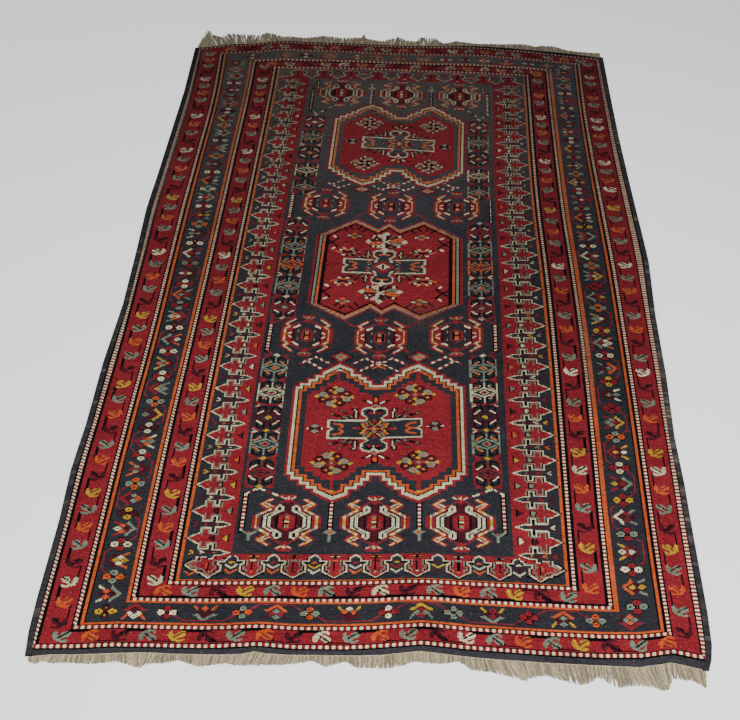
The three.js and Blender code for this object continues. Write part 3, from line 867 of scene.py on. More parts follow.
def boxed_gul(pen):
    """An octagon with stepped sides, pale bars on its diagonals and a ringed box in the middle."""
    for quarter in pen.quarters():
        quarter.area("r", (66, 0), (66, 22), (55, 27), (66, 36), (35, 56), (25, 52), (41, 42), (45, 33),
                     (35, 29), (35, 0))
        quarter.line("r", (42, 29), (20, 39), (8, 46), width=4.0)
        quarter.area("n", (48, 37), (40, 34), (31, 38), (38, 43))
        quarter.line("yc", (56.5, 0), (56.5, 19), (44, 26.5), (55, 34), (34, 49), width=4.4)
        quarter.line("c", (55, 34), (34, 49), width=2.2)
        quarter.area("n", (34, 0), (34, 26), (20, 35), (8, 41), (0, 41), (0, 0))
        quarter.line("k", (35.5, 0), (35.5, 26), width=3.2)
        quarter.line("d", (30, 0), (30, 18), (18, 26), (10, 32), width=4.6)
        quarter.line("w", (33, 23.5), (21, 30.5), width=5.4)
        quarter.line("ns", (21, 0), (21, 17), width=2.4)
        quarter.line("w", (46.5, 3.6), (39.5, 8), width=3.4)
    for side in (-1, 1):
        pen.area("r", (side * 46, 0), (side * 38, 5), (side * 38, -5))
    pen.area("r", (-14.5, 13), (0, 22), (14.5, 13), (14.5, -13), (0, -22), (-14.5, -13))
    pen.area("k", (-9, 13), (9, 13), (9, -13), (-9, -13))
    pen.block("o", 0, 6, 4.8, 3.6)
    pen.block("g", 0, 11, 4.8, 1.6)
    pen.block("o", 0, -6, 4.8, 3.6)
    pen.block("c", 0, -11, 4.8, 2.0)
    for end in (-1, 1):
        pen.diamond("r", 0, end * 45, 10, 7)
        crown(pen.moved(0, end * -2, 1, end), "s")


def ringed_diamond(pen):
    """Nested diamonds of red, green and orange."""
    pen.diamond("k", 0, 0, 31, 22)
    pen.diamond("r", 0, 0, 27, 19)
    pen.diamond("k", 0, 0, 19.5, 13.6)
    pen.diamond("g", 0, 0, 17.5, 12.2)
    pen.diamond("o", 0, 0, 10, 7)


# Devices up the field's sides: place, then the yarns of the lines, heart, bars, connector above and bar
# edges. Devices nearer than a gap are joined.
SIDE_DEVICES = (
    (401, "rdwyr"), (476, "groyg"), (548, "dywrr"), (618, "crrsc"), (690, "goorg"),
    (880, "rgwcr"), (953, "gorgg"), (1029, "odgsr"), (1094, "gdogk"), (1164, "rdwcr"),
    (1332, "sordk"), (1406, "cdork"), (1484, "dywrr"), (1559, "sdork"), (1630, "rwwrr"),
)
DEVICE_CAPS = (365, 728, 844, 1202, 1668)
DEVICE_COLUMNS = (391.0, 890.0)
DEVICE_GAP = 90


def side_device(pen, yarns):
    lines, heart, bars, _, bar_edges = yarns
    for quarter in pen.quarters():
        quarter.line("k", (-24, 3), (-24, 26), (-8, 30), (-6, 14), width=3.2)
        quarter.line(lines, (-29.5, 0), (-29.5, 27), width=4.6)
        quarter.line(lines, (-29, 1), (0, 13), width=4.0)
        quarter.line("r", (-30, 27), (-19, 35), width=4.2)
        quarter.line(lines, (0, 13), (0, 28), width=4.6)
        quarter.line("k", (-25, 8), (-9, 19), width=8.4)
        quarter.line(bar_edges, (-24, 8.5), (-11, 18.5), width=5.6)
        quarter.line(bars, (-24, 9.5), (-12, 18.5), width=3.4)
    pen.diamond("k", 0, 0, 13, 9)
    pen.diamond(lines, 0, 0, 12, 8.4)
    pen.diamond("k" if lines == heart else heart, 0, 0, 8.6, 5.8)
    pen.block("r" if heart in "oyg" else "k", 0, 0, 1.7, 1.1)


def side_devices():
    for x in DEVICE_COLUMNS:
        for (y, yarns), (above, _) in zip(SIDE_DEVICES, SIDE_DEVICES[1:] + ((0, ""),)):
            side_device(Pen(x, y), yarns)
            if 0 < above - y < DEVICE_GAP:
                joint = Pen(x, (y + above) / 2)
                joint.line("r", (-26, 0), (26, 0), width=3.2)
                arms = "c" if yarns[0] in "dg" else "r"
                for side in (-1, 1):
                    joint.line(arms, (side * 29, -5), (side * 19, 0), (side * 29, 5), width=3.6)
                joint.diamond("k", 0, 0, 11, 7)
                joint.diamond(yarns[3], 0, 0, 8.6, 5.2)
        for y in DEVICE_CAPS:
            cap = Pen(x, y)
            for side in (-1, 1):
                cap.line("r", (side * 30, 0), (side * 14, 0), width=3.2)
            cap.diamond("y" if y < 500 else "c", 0, 0, 9, 5.6)


# Striped poles: place, ends, and the yarns of their stripes.
POLES = ((551.5, 262, 333), (738.5, 262, 333), (551.5, 1727, 1795), (738.5, 1727, 1795))
SIDE_POLES = ((366.0, 258, 346), (366.0, 742, 826), (366.5, 1204, 1304), (370.0, 1690, 1795))


def striped_pole(x, low, high):
    far = low > 1000
    sheet.line("k", (x, low), (x, high), width=10 if far else 12.5)
    steps = int((high - low) / 4.6)
    for step in range(steps):
        y = low + (high - low) * (step + 0.5) / steps
        sheet.block("wr"[step % 2], x, y, 2.3 if far else 3.3, (high - low) / steps / 2)


def poles():
    for x, low, high in POLES:
        striped_pole(x, low, high)
        end = low - 6 if low < 1000 else high + 6
        away = -1 if low < 1000 else 1
        sheet.line("g", (x, end), (x, end + away * 20), width=6)
        sheet.diamond("g", x, end, 14, 8)
        sheet.diamond("o", x, end, 7, 4.4)
    for x, low, high in SIDE_POLES:
        for place, side in ((x, 1), (2 * MIDDLE - x - 1, -1)):
            striped_pole(place, low, high)
            side_pole_ends(Pen(place, 0, (float(side), 0.0)), low, high)


def side_pole_ends(pen, low, high):
    """What a side pole carries at its ends; u runs towards the field's middle."""
    if low < 300:
        pen.line("g", (0, 262), (4, 256), (17, 248), (30, 256), width=4)
        pen.line("g", (17, 248), (17, 238), width=6.4)
        pen.area("o", (11, 256), (23, 256), (17, 252))
        pen.line("wrwrwr", (0, 348), (25, 362), width=4.2)
        pen.line("wwrr", (25, 361), (74, 341), width=4.2)
    elif low < 1500:
        pen.line("r", (0, low), (12, low - 8), width=4)
        pen.line("r", (0, high), (40, high + 24), width=3.8)
        pen.line("r", (0, high), (0, high + 30), width=3.8)
    else:
        pen.line("kswk", (2, 1690), (24, 1672), width=3.6)
        pen.line("kswk", (24, 1672), (72, 1716), width=3.6)
        pen.line("k", (14, 1806), (14, 1832), width=9.5)
        pen.line("c", (14, 1804), (14, 1830), width=3.3)
        pen.oval("o", 14, 1800, 4, 3)


def roofs(y, end):
    """Dashed bars like roof beams and two ringed diamonds, beyond a stepped medallion towards the middle."""
    pen = Pen(MIDDLE, y, (1.0, 0.0), (0.0, float(end)))
    for side in (-1, 1):
        half = pen.moved(0, 0, side, 1)
        half.line("rwrw", (-194, 0), (-157, 22), (-120, 2), width=4.6)
        half.line("rwrw", (-182, 12), (-128, -22), width=4.6)
        half.line("rwrw", (-66, 2), (-33, 23), (6, 0), width=4.6)
        half.line("rwrw", (-52, -22), (0, 12), width=4.6)
        at = half.place(-94, 24)
        ringed_diamond(Pen(at[0] + 5 * (end < 0), at[1], (1.0, 0.0), (0.0, 1.0 if end > 0 else 0.8)))
        half.line("r", (-70, 40), (-44, 58), (-30, 64), width=4.0)
        half.line("r", (-94, 6), (-94, 2), width=5)
    pen.line("r", (0, 12), (0, 30), width=3.4)
    for side in (-1, 1):
        pen.line("o", (0, 0), (side * 15, -9), width=3.6)


def links():
    """Thin red lines from the middle medallion to the guls around it."""
    for end in (-1, 1):
        pen = Pen(MIDDLE, 1033, (1.0, 0.0), (0.0, float(end)))
        pen.line("r", (0, 166), (0, 188), width=3.4)
        for side in (-1, 1):
            pen.line("r", (side * 95, 188), (side * 70, 206), (side * 46, 208), width=4.0)


GUL_OFFSETS = (-187, 0, 183)
# Bunches of berries: which way each is turned, and its place from the medallion's middle.
NEAR_BERRIES = ((-1, 1, -101, 88), (1, 1, 87, 94), (-1, -1, -99, -94), (1, -1, 94, -91))
FAR_BERRIES = ((-1, 1, -93, 92), (1, 1, 101, 86), (-1, -1, -95, -93), (1, -1, 94, -98))


def field():
    sheet.area("n", (FIELD_LEFT, FIELD_NEAR), (FIELD_RIGHT, FIELD_NEAR), (FIELD_RIGHT, FIELD_FAR),
               (FIELD_LEFT, FIELD_FAR))
    side_devices()
    poles()
    roofs(705, 1)
    roofs(1358, -1)
    links()
    for offset in GUL_OFFSETS:
        hooked_gul(Pen(MIDDLE + offset, 280))
        boxed_gul(Pen(MIDDLE + offset, 793))
        boxed_gul(Pen(MIDDLE + offset, 1268))
        hooked_gul(Pen(MIDDLE + offset, 1777))
    stepped_medallion(Pen(MIDDLE - 1.5, 523), -0.02, -5.5, NEAR_BERRIES, "gyd", "gdw")
    zigzag_medallion(Pen(MIDDLE, 1033))
    stepped_medallion(Pen(MIDDLE + 3.5, 1540), 0.03, -0.5, FAR_BERRIES, "", "gks")


def woven_pattern():
    frames()
    side_leaves(33.5, LEFT_OUTER_LEAVES, LEFT_OUTER_YARNS, -1)
    side_leaves(207.5, LEFT_INNER_LEAVES, LEFT_INNER_YARNS, -1)
    side_leaves(1091.5, RIGHT_INNER_LEAVES, RIGHT_INNER_YARNS, 1)
    side_leaves(1266.5, RIGHT_OUTER_LEAVES, RIGHT_OUTER_YARNS, -1)
    for row in END_LEAVES:
        end_leaves(*row)
    side_flowers(121.0, 150.0, FLOWER_PITCH_LEFT, LEFT_FLOWERS, -1)
    side_flowers(1179.5, 186.0, FLOWER_PITCH_RIGHT, RIGHT_FLOWERS, 1)
    blossom(Pen(121, 76), "y", "d", "d", 1.0, 0.9)
    chevron(Pen(119, 113, (1.0, 0.0), (0.0, 1.0)), "gdodc")
    chevron(Pen(1180, 147, (-1.0, 0.0), (0.0, 1.0)), "oydyg")
    blossom(Pen(1180, 105), "g", "r")
    end_flowers(NEAR_BLOSSOMS, NEAR_MOTIFS, 75.0, 0.9)
    end_flowers(FAR_BLOSSOMS, FAR_MOTIFS, 1963.5, 0.8)
    reciprocal()
    field()


# How the woven layout really lies: each line's distance from the left corner, at places along the rug. The
# first row says where the lines are in the straight layout.
LINE_PLACES = (-3.5, 69.0, 173.0, 240.5, 352.0, 391.0, 645.0, 890.0, 938.0, 1057.5, 1125.0, 1233.5, 1299.5)
LINE_DRIFT = (
    (0, (-3, 69, 173, 239, 351, 391, 645, 891, 938, 1057, 1126, 1233, 1300)),
    (250, (-3, 69, 170, 238, 351, 391, 645, 892, 937, 1057, 1126, 1234, 1301)),
    (500, (-3, 69, 170, 238, 346, 389, 641, 888, 935, 1061, 1131, 1237, 1305)),
    (750, (3, 76, 176, 241, 348, 388, 633, 886, 936, 1063, 1133, 1237, 1307)),
    (1000, (0, 76, 180, 245, 351, 394, 637, 889, 937, 1061, 1129, 1236, 1308)),
    (1250, (-3, 76, 183, 249, 354, 398, 646, 890, 935, 1053, 1121, 1230, 1305)),
    (1500, (2, 81, 185, 252, 360, 402, 657, 893, 938, 1053, 1120, 1223, 1296)),
    (1750, (8, 86, 190, 256, 368, 407, 663, 902, 946, 1057, 1120, 1220, 1294)),
    (2000, (1, 73, 186, 255, 368, 407, 663, 904, 946, 1058, 1122, 1226, 1291)),
)
# How far rows lie past their straight places at the left border and at the right border.
ROW_DRIFT = ((208, -2, 2), (530, 0, 20), (852, 10, 26), (1174, 16, 11), (1496, 9, -8), (1754, 1, -7))
# Waves of the end guard lines: across, at the outermost line, and at the innermost one.
NEAR_WAVE = (
    (0, -7, -2), (80, -5, -2), (150, 0, -1), (250, 0, -1), (330, 0, 0), (430, 5, 2), (500, 1, 2),
    (600, 1, 4), (700, 7, 8), (750, 11, 9), (830, 5, 7), (880, 2, 5), (1000, -5, 1), (1100, -8, -2),
    (1180, -6, -3), (1240, 2, -1), (1280, -5, -2), (1310, -8, -3),
)
FAR_WAVE = (
    (0, -33, -8), (40, -24, -6), (100, -10, -3), (200, 0, 0), (250, 10, 4), (420, 11, 9), (520, 8, 10),
    (620, 5, 8), (780, 8, 6), (930, 8, 5), (1040, 4, 3), (1100, -3, -3), (1200, -18, -8),
    (1290, -29, -12), (1310, -32, -13),
)
NEAR_LINES = (8.0, 140.0, 420.0)   # outermost line, innermost line, and where the near waves have died out
FAR_LINES = (2030.0, 1900.0, 1700.0)
DRIFT_SMOOTHING = 60           # rows before and after that a line's drift is averaged over
DRIFT_LEFT = 300               # from here to the edge a row has its full drift, and likewise on the right
DRIFT_RIGHT = 990
BENT_ROWS = 6                  # rows at each end that bend to the cloth's own edge


def smoothed(values, reach):
    """A running mean along the rug, so that the drift has no corners."""
    kernel = np.ones(2 * reach + 1) / (2 * reach + 1)
    padded = np.pad(values, ((reach, reach), (0, 0)), mode="edge")
    return np.stack([np.convolve(column, kernel, mode="valid") for column in padded.T], axis=1)


def read_table(table, column, places):
    """A table's column, read straight between its rows. Their first number says where they stand."""
    return np.interp(places, [row[0] for row in table], [row[column] for row in table])


def wave(table, lines, ys, xs):
    """The end waves at every corner: full at the outer line, less at the inner one, gone further in."""
    outer = read_table(table, 1, xs)[None, :]
    inner = read_table(table, 2, xs)[None, :]
    toward = 1.0 if lines[0] < lines[2] else -1.0
    depth = (ys[:, None] - lines[0]) * toward
    first = (lines[1] - lines[0]) * toward
    last = (lines[2] - lines[0]) * toward
    between = np.clip(depth / first, 0, 1)
    fade = np.clip((last - depth) / (last - first), 0, 1)
    return (outer + (inner - outer) * between) * fade


def lie(corner_xs, corner_ys):
    """Where the chart's corners lie on the floor, in the guard line's frame, in millimetres."""
    stations = [row[0] for row in LINE_DRIFT]
    lines = [np.interp(corner_ys, stations, line) for line in zip(*[row[1] for row in LINE_DRIFT])]
    lines = smoothed(np.stack(lines, axis=1), DRIFT_SMOOTHING)
    left_drift = read_table(ROW_DRIFT, 1, corner_ys)
    right_drift = read_table(ROW_DRIFT, 2, corner_ys)
    share = np.interp(corner_xs, (DRIFT_LEFT, MIDDLE, DRIFT_RIGHT), (-1.0, 0.0, 1.0))[None, :]
    drift = np.where(share < 0, -share * left_drift[:, None], share * right_drift[:, None])
    along = corner_ys[:, None] + drift
    along = along + wave(NEAR_WAVE, NEAR_LINES, corner_ys, corner_xs)
    along = along + wave(FAR_WAVE, FAR_LINES, corner_ys, corner_xs)
    # The cloth's own ends, where it meets the fringes
    near_edge = read_table(END_EDGES, 1, corner_xs)
    far_edge = read_table(END_EDGES, 2, corner_xs)
    for row in range(BENT_ROWS):
        weight = 1 - row / BENT_ROWS
        along[row] = along[row] + (near_edge + row * ROW - along[row]) * weight
        along[-1 - row] = along[-1 - row] + (far_edge - row * ROW - along[-1 - row]) * weight
    across = np.empty_like(along)
    places = (corner_xs[0],) + LINE_PLACES + (corner_xs[-1],)
    for row, y in enumerate(along):
        left = read_table(SIDE_EDGES, 1, y[0]) + SELVEDGE_INSET
        right = read_table(SIDE_EDGES, 2, y[-1]) - SELVEDGE_INSET
        across[row] = np.interp(corner_xs, places, np.concatenate(([left], lines[row], [right])))
    return across, along


# Heights above the floor and widths, in millimetres, as in the CAD part.
PILE_HEIGHT = 7.6
BAND_HEIGHT = 3.2
SIDE_HEIGHT = 4.6
BAND_WIDTH = 10.5
PILE_SLOPE = 3.0               # width over which the pile rises from a band or a side
PILE_LOWERED = 0.25            # how far the knots' middle height is under the pile's height
PILE_WAVE = 0.35
WAVE_ACROSS = 83.0
WAVE_ALONG = 127.0
KNOT_UNEVENNESS = 0.09
FLOOR_GAP = 0.05
SELVEDGE_WIDTH = 13.5
PIECE_GAP = 0.35
# A selvedge's top: share of its width from the outside inwards, and height there.
SELVEDGE_SECTION = ((0.0, 2.3), (0.16, 4.4), (0.36, 5.3), (0.55, 4.7), (0.74, 5.3), (0.92, 4.7), (1.0, 3.9))

# Low ripples: centre across and along, half width, half length, height.
RIPPLES = (
    (425, 0, 70, 170, 2.6), (747, 0, 110, 330, 5.5), (1236, 0, 75, 240, 4.6), (1336, 1090, 150, 210, 4.0),
    (-28, 400, 130, 150, 3.4), (-26, 1240, 120, 170, 3.0), (265, 2052, 120, 220, 4.2),
    (880, 2052, 160, 240, 3.6),
)
# Where the layout's origin, the near left corner of the outermost guard line, lies in the CAD frame, in
# metres.
GUARD_CORNER = (-0.65387, -1.02491)


def lift(across, along):
    """How far the ripples lift the cloth off the floor."""
    height = np.zeros_like(across)
    for x, y, half_width, half_length, top in RIPPLES:
        distance = np.minimum(1.0, np.hypot((across - x) / half_width, (along - y) / half_length))
        height += top * (1 - distance**2) ** 2
    return height


def pile_heights(across, along):
    """Height of the cloth's top at every corner of the chart."""
    rows = np.arange(ROWS + 1)[:, None] * ROW
    columns = np.arange(COLUMNS + 1)[None, :] * COLUMN
    from_end = np.minimum(rows, rows[::-1])
    from_side = np.minimum(columns, columns[:, ::-1])
    waves = np.sin(across / WAVE_ACROSS) * np.cos(along / WAVE_ALONG)
    top = PILE_HEIGHT - PILE_LOWERED + PILE_WAVE * waves
    top = top + np.random.default_rng(3).normal(0, KNOT_UNEVENNESS, across.shape)
    rise = np.clip(from_side / PILE_SLOPE, 0, 1)
    top = SIDE_HEIGHT + (top - SIDE_HEIGHT) * rise
    rise = np.clip((from_end - BAND_WIDTH) / PILE_SLOPE, 0, 1)
    top = BAND_HEIGHT + (top - BAND_HEIGHT) * rise
    return top + lift(across, along)


def to_metres(across, along, up):
    places = np.stack([across, along, up], axis=-1).reshape(-1, 3) * 0.001
    places[:, 0] += GUARD_CORNER[0]
    places[:, 1] += GUARD_CORNER[1]
    return places


def add_mesh(name, places, faces, material, colours, layout=None):
    """A mesh from numpy arrays: corner places in metres, four-sided faces, a colour for each face."""
    mesh = bpy.data.meshes.new(name)
    mesh.vertices.add(len(places))
    mesh.vertices.foreach_set("co", np.asarray(places, np.float32).ravel())
    mesh.loops.add(faces.size)
    mesh.loops.foreach_set("vertex_index", faces.ravel().astype(np.int32))
    mesh.polygons.add(len(faces))
    mesh.polygons.foreach_set("loop_start", np.arange(0, faces.size, 4, dtype=np.int32))
    mesh.update(calc_edges=True)
    mesh.polygons.foreach_set("use_smooth", np.full(len(faces), True))
    layer = mesh.color_attributes.new("yarn", "FLOAT_COLOR", "CORNER")
    values = np.ones((len(faces), 4, 4), np.float32)
    values[:, :, :3] = colours[:, None, :]
    layer.data.foreach_set("color", values.ravel())
    if layout is not None:
        uv = mesh.uv_layers.new(name="OFBake")
        uv.data.foreach_set("uv", layout.astype(np.float32).ravel())
    mesh.materials.append(material)
    piece = bpy.data.objects.new(name, mesh)
    bpy.context.collection.objects.link(piece)
    return piece


def grid_faces(rows, columns, closed=False):
    """Faces of a grid of points that run across first. A closed grid joins its last column to its first."""
    first = np.arange(rows - 1)[:, None] * columns
    steps = columns if closed else columns - 1
    left = np.arange(steps)[None, :]
    right = (left + 1) % columns
    corners = [first + left, first + right, first + columns + right, first + columns + left]
    return np.stack(corners, axis=-1).reshape(-1, 4)


# The yarns' own colours, from 0 to 255: near end, then far end. They were chosen and changed until
# the lit picture came close to the photograph.
# Most far-end colours are darker than the near ones: painted shade of the far end. The far navy is greyer,
# partly abrash in the dye, partly painted sheen.
YARNS = {
    "n": ((35, 35, 39), (44, 41, 40)),     # field navy, greyer at the far end
    "e": ((45, 44, 48), (28, 27, 28)),     # slate blue of the end band
    "k": ((5, 5, 8), (3, 3, 4)),           # near black
    "r": ((110, 28, 34), (63, 15, 18)),    # red
    "d": ((56, 18, 26), (44, 10, 14)),     # maroon
    "o": ((158, 65, 29), (87, 54, 36)),    # orange
    "c": ((162, 158, 126), (80, 71, 61)),  # cream
    "w": ((186, 178, 144), (93, 83, 74)),  # white
    "g": ((92, 104, 88), (72, 69, 60)),    # grey-green
    "y": ((153, 119, 28), (80, 66, 50)),   # yellow
    "s": ((90, 96, 81), (68, 68, 58)),     # grey
    "b": ((86, 42, 35), (54, 26, 22)),     # brown
}


def to_linear(colour):
    """A screen colour from 0 to 255 as linear light from 0 to 1."""
    share = np.asarray(colour, float) / 255
    return np.where(share <= 0.04045, share / 12.92, ((share + 0.055) / 1.055) ** 2.4)


def streaks(rng, stretch, spread):
    """Unevenness of the dye along the rows of knots: streaks as many knots long as given."""
    coarse = rng.normal(0, spread, (ROWS, COLUMNS // stretch + 2))
    places = np.arange(COLUMNS) / stretch
    return np.stack([np.interp(places, np.arange(coarse.shape[1]), row) for row in coarse])


def patches(rng, cell, spread):
    """Broad soft unevenness, from random values on a coarse grid."""
    tall = ROWS // cell + 2
    wide = COLUMNS // cell + 2
    coarse = rng.normal(0, spread, (tall, wide))
    across = np.stack([np.interp(np.arange(COLUMNS) / cell, np.arange(wide), row) for row in coarse])
    along = [np.interp(np.arange(ROWS) / cell, np.arange(tall), column) for column in across.T]
    return np.stack(along, axis=1)


# Worn places: centre across and along, half width, half length, share, and the colour worn through.
WORN = (
    (1312, 640, 8, 300, 0.55, (104, 86, 78)), (1133, 740, 16, 190, 0.35, (84, 62, 54)),
    (740, 860, 70, 60, 0.25, (70, 50, 44)), (-3, 1500, 9, 600, 0.4, (84, 72, 68)),
    (10, 1990, 30, 60, 0.3, (60, 50, 44)),
)


# Broad patches of painted light and shade: centre across and along, half width, half length, and how much
# lighter, or below zero how much darker.
PAINTED_LIGHT_AND_SHADE = (
    (640, 1500, 300, 620, 0.2), (1090, 960, 250, 520, -0.28), (215, 1250, 170, 600, -0.12),
    (200, 600, 150, 240, 0.08), (60, 120, 420, 260, -0.07), (900, 0, 500, 110, -0.06),
)


KNOT_SHADE_SPREAD = 0.17       # how much single knots differ in brightness
LINT_AND_GLINT_SHARE = 0.006             # share of the knots with lint and painted glints on them


def knot_colours():
    """The colour of every knot: its yarn, darker towards the far end as painted shade, with broad painted
    light and shade, wear and unevenness.
    """
    rng = np.random.default_rng(11)
    xs = KNOT_X[None, :]
    ys = KNOT_Y[:, None]
    # Painted shade of the far end: most yarns darken towards it. In the far part of the field the navy and
    # black turn greyer, partly abrash in the dye, partly painted sheen of the pile.
    far_end_shade = np.clip(ys / 2000, 0, 1) + 0 * xs
    greying = np.clip((ys - 1150) / 650, 0, 1) * np.clip((1090 - xs) / 120, 0.1, 1)
    colours = np.zeros((ROWS, COLUMNS, 3))
    for letter, (near, far) in YARNS.items():
        share = greying if letter in "nk" else far_end_shade
        mixed = to_linear(near) + (to_linear(far) - to_linear(near)) * share[:, :, None]
        chosen = chart == letter
        colours[chosen] = mixed[chosen]
    # The field's navy is deepest a little short of the middle
    colours *= (1 - 0.2 * np.exp(-((ys - 850) / 420) ** 2) * (chart == "n"))[:, :, None]
    for x, y, half_width, half_length, lighter in PAINTED_LIGHT_AND_SHADE:
        spot = np.exp(-((xs - x) / half_width) ** 2 - ((ys - y) / half_length) ** 2)
        colours *= (1 + lighter * spot)[:, :, None]
    for x, y, half_width, half_length, share, worn in WORN:
        near = np.clip(1 - ((xs - x) / half_width) ** 2 - ((ys - y) / half_length) ** 2, 0, 1)
        weight = (near * share * rng.uniform(0.3, 1.7, (ROWS, COLUMNS)))[:, :, None]
        colours += (to_linear(worn) - colours) * np.clip(weight, 0, 1)
    light = 1 + streaks(rng, 24, 0.05) + streaks(rng, 3, 0.1)
    light = light + patches(rng, 22, 0.07) + rng.normal(0, KNOT_SHADE_SPREAD, (ROWS, COLUMNS))
    colours = colours * np.clip(light, 0.45, 1.7)[:, :, None]
    # Lint, and painted glints of broken tips that catch the light
    lint_and_glints = rng.uniform(0, 1, (ROWS, COLUMNS)) < LINT_AND_GLINT_SHARE
    colours[lint_and_glints] += to_linear((50, 47, 44)) * rng.uniform(0.3, 1.2, (int(lint_and_glints.sum()), 1))
    return colours


STRIPS = 5
FOLDS = 3                      # each strip's map is folded into this many lengths


def mix(tree, kind, first, second):
    node = tree.nodes.new("ShaderNodeMath")
    node.operation = kind
    for socket, value in zip(node.inputs, (first, second)):
        if isinstance(value, (int, float)):
            socket.default_value = value
        else:
            tree.links.new(value, socket)
    return node.outputs[0]


def noise(tree, scale, detail):
    place = tree.nodes.new("ShaderNodeTexCoord")
    node = tree.nodes.new("ShaderNodeTexNoise")
    node.inputs["Scale"].default_value = scale
    node.inputs["Detail"].default_value = detail
    tree.links.new(place.outputs["Object"], node.inputs["Vector"])
    return node.outputs["Fac"]


FIBRE_SHADING = 0.5            # how much the fibres lighten and darken the yarn's colour


def wool(name, fibre_scale, bump_height, sheen):
    """Matt yarn: the colour of each knot or strand, made uneven by fibres."""
    material = bpy.data.materials.new(name)
    material.use_nodes = True
    tree = material.node_tree
    shader = tree.nodes["Principled BSDF"]
    shader.inputs["Roughness"].default_value = 0.93
    shader.inputs["Specular IOR Level"].default_value = 0.03
    shader.inputs["Sheen Weight"].default_value = sheen
    shader.inputs["Sheen Roughness"].default_value = 0.6
    colour = tree.nodes.new("ShaderNodeVertexColor")
    colour.layer_name = "yarn"
    fibres = noise(tree, fibre_scale, 3)
    light = mix(tree, "ADD", mix(tree, "MULTIPLY", fibres, FIBRE_SHADING), 1 - FIBRE_SHADING / 2)
    scaled = tree.nodes.new("ShaderNodeVectorMath")
    scaled.operation = "SCALE"
    tree.links.new(colour.outputs["Color"], scaled.inputs[0])
    tree.links.new(light, scaled.inputs["Scale"])
    tree.links.new(scaled.outputs["Vector"], shader.inputs["Base Color"])
    bump = tree.nodes.new("ShaderNodeBump")
    bump.inputs["Strength"].default_value = 0.6
    bump.inputs["Distance"].default_value = bump_height
    tree.links.new(fibres, bump.inputs["Height"])
    tree.links.new(bump.outputs["Normal"], shader.inputs["Normal"])
    return material


def folded_map(rows, columns):
    """A map of a long strip cut into lengths that lie side by side, as corner places for each face."""
    per_fold = -(-rows // FOLDS)
    row = np.arange(rows)
    fold = row // per_fold
    v = (row - fold * per_fold) / per_fold
    u = np.arange(columns) / columns
    margin = 0.004
    width = 1 / FOLDS
    left = fold[:, None] * width + margin + (width - 2 * margin) * u[None, :]
    right = left + (width - 2 * margin) / columns
    low = margin + (1 - 2 * margin) * v[:, None] + 0 * left
    high = low + (1 - 2 * margin) / per_fold
    corners = [(left, low), (right, low), (right, high), (left, high)]
    return np.stack([np.stack(corner, axis=-1) for corner in corners], axis=2)


def pile_strips(across, along, tops, colours, material):
    """The pile, cut into strips that meet at the same points."""
    cuts = np.linspace(0, COLUMNS, STRIPS + 1).astype(int)
    for number, (first, last) in enumerate(zip(cuts, cuts[1:])):
        part = slice(first, last + 1)
        places = to_metres(across[:, part], along[:, part], tops[:, part])
        count = last - first
        strip = add_mesh(
            f"pile_{number + 1}",
            places,
            grid_faces(ROWS + 1, count + 1),
            material,
            colours[:, first:last].reshape(-1, 3),
            folded_map(ROWS, count),
        )
        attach(strip, "root")


BACK_ROWS = 20                 # rows and columns of knots to one face of the back
BACK_COLUMNS = 14
BACK_DEPTH = 1.1               # how far the back's upper face stays under the lowest tuft beside it
BACK_THICKNESS = 1.8
UNDERSIDE = (118, 62, 58)
FOUNDATION = (46, 40, 42)


def back(across, along, tops, material):
    """The underside and the rims that close the cloth."""
    rows = list(range(0, ROWS + 1, BACK_ROWS))
    columns = list(range(0, COLUMNS + 1, BACK_COLUMNS))
    x = across[np.ix_(rows, columns)]
    y = along[np.ix_(rows, columns)]
    low = lift(x, y) + FLOOR_GAP
    lowest = tops.copy()
    for step in range(1, BACK_ROWS + 1):
        lowest[step:] = np.minimum(lowest[step:], tops[:-step])
        lowest[:-step] = np.minimum(lowest[:-step], tops[step:])
    high = np.minimum(lowest[np.ix_(rows, columns)] - BACK_DEPTH, lift(x, y) + BACK_THICKNESS)
    places = np.concatenate([to_metres(x, y, high), to_metres(x, y, low)])
    faces = grid_faces(len(rows), len(columns))
    count = len(rows) * len(columns)
    wide = len(columns)
    rims = []
    for row in range(len(rows) - 1):
        a = row * wide
        rims.append((a, a + wide, a + wide + count, a + count))
        b = a + wide - 1
        rims.append((b + wide, b, b + count, b + wide + count))
    for column in range(wide - 1):
        rims.append((column + 1, column, column + count, column + 1 + count))
        b = (len(rows) - 1) * wide + column
        rims.append((b, b + 1, b + 1 + count, b + count))
    every = np.concatenate([faces, faces[:, ::-1] + count, np.array(rims)])
    colours = np.tile(to_linear(UNDERSIDE), (len(every), 1))
    colours[-len(rims):] = to_linear(FOUNDATION)
    colours[:len(faces)] = to_linear(FOUNDATION)
    piece = add_mesh("rug_back", places, every, material, colours)
    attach(piece, "root")
    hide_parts("rug_body")


# The left and the right selvedge's colour, and how much darker it is at the far end, as painted shade.
SELVEDGE_COLOURS = {-1: (40, 40, 44), 1: (40, 38, 41)}
SELVEDGE_DARKENING = {-1: 0.8, 1: 0.45}
SELVEDGE_WORN = (112, 100, 88)
RIDGE_HEIGHT = 0.3             # how far every other turn of the yarn stands out, and the rest sink in


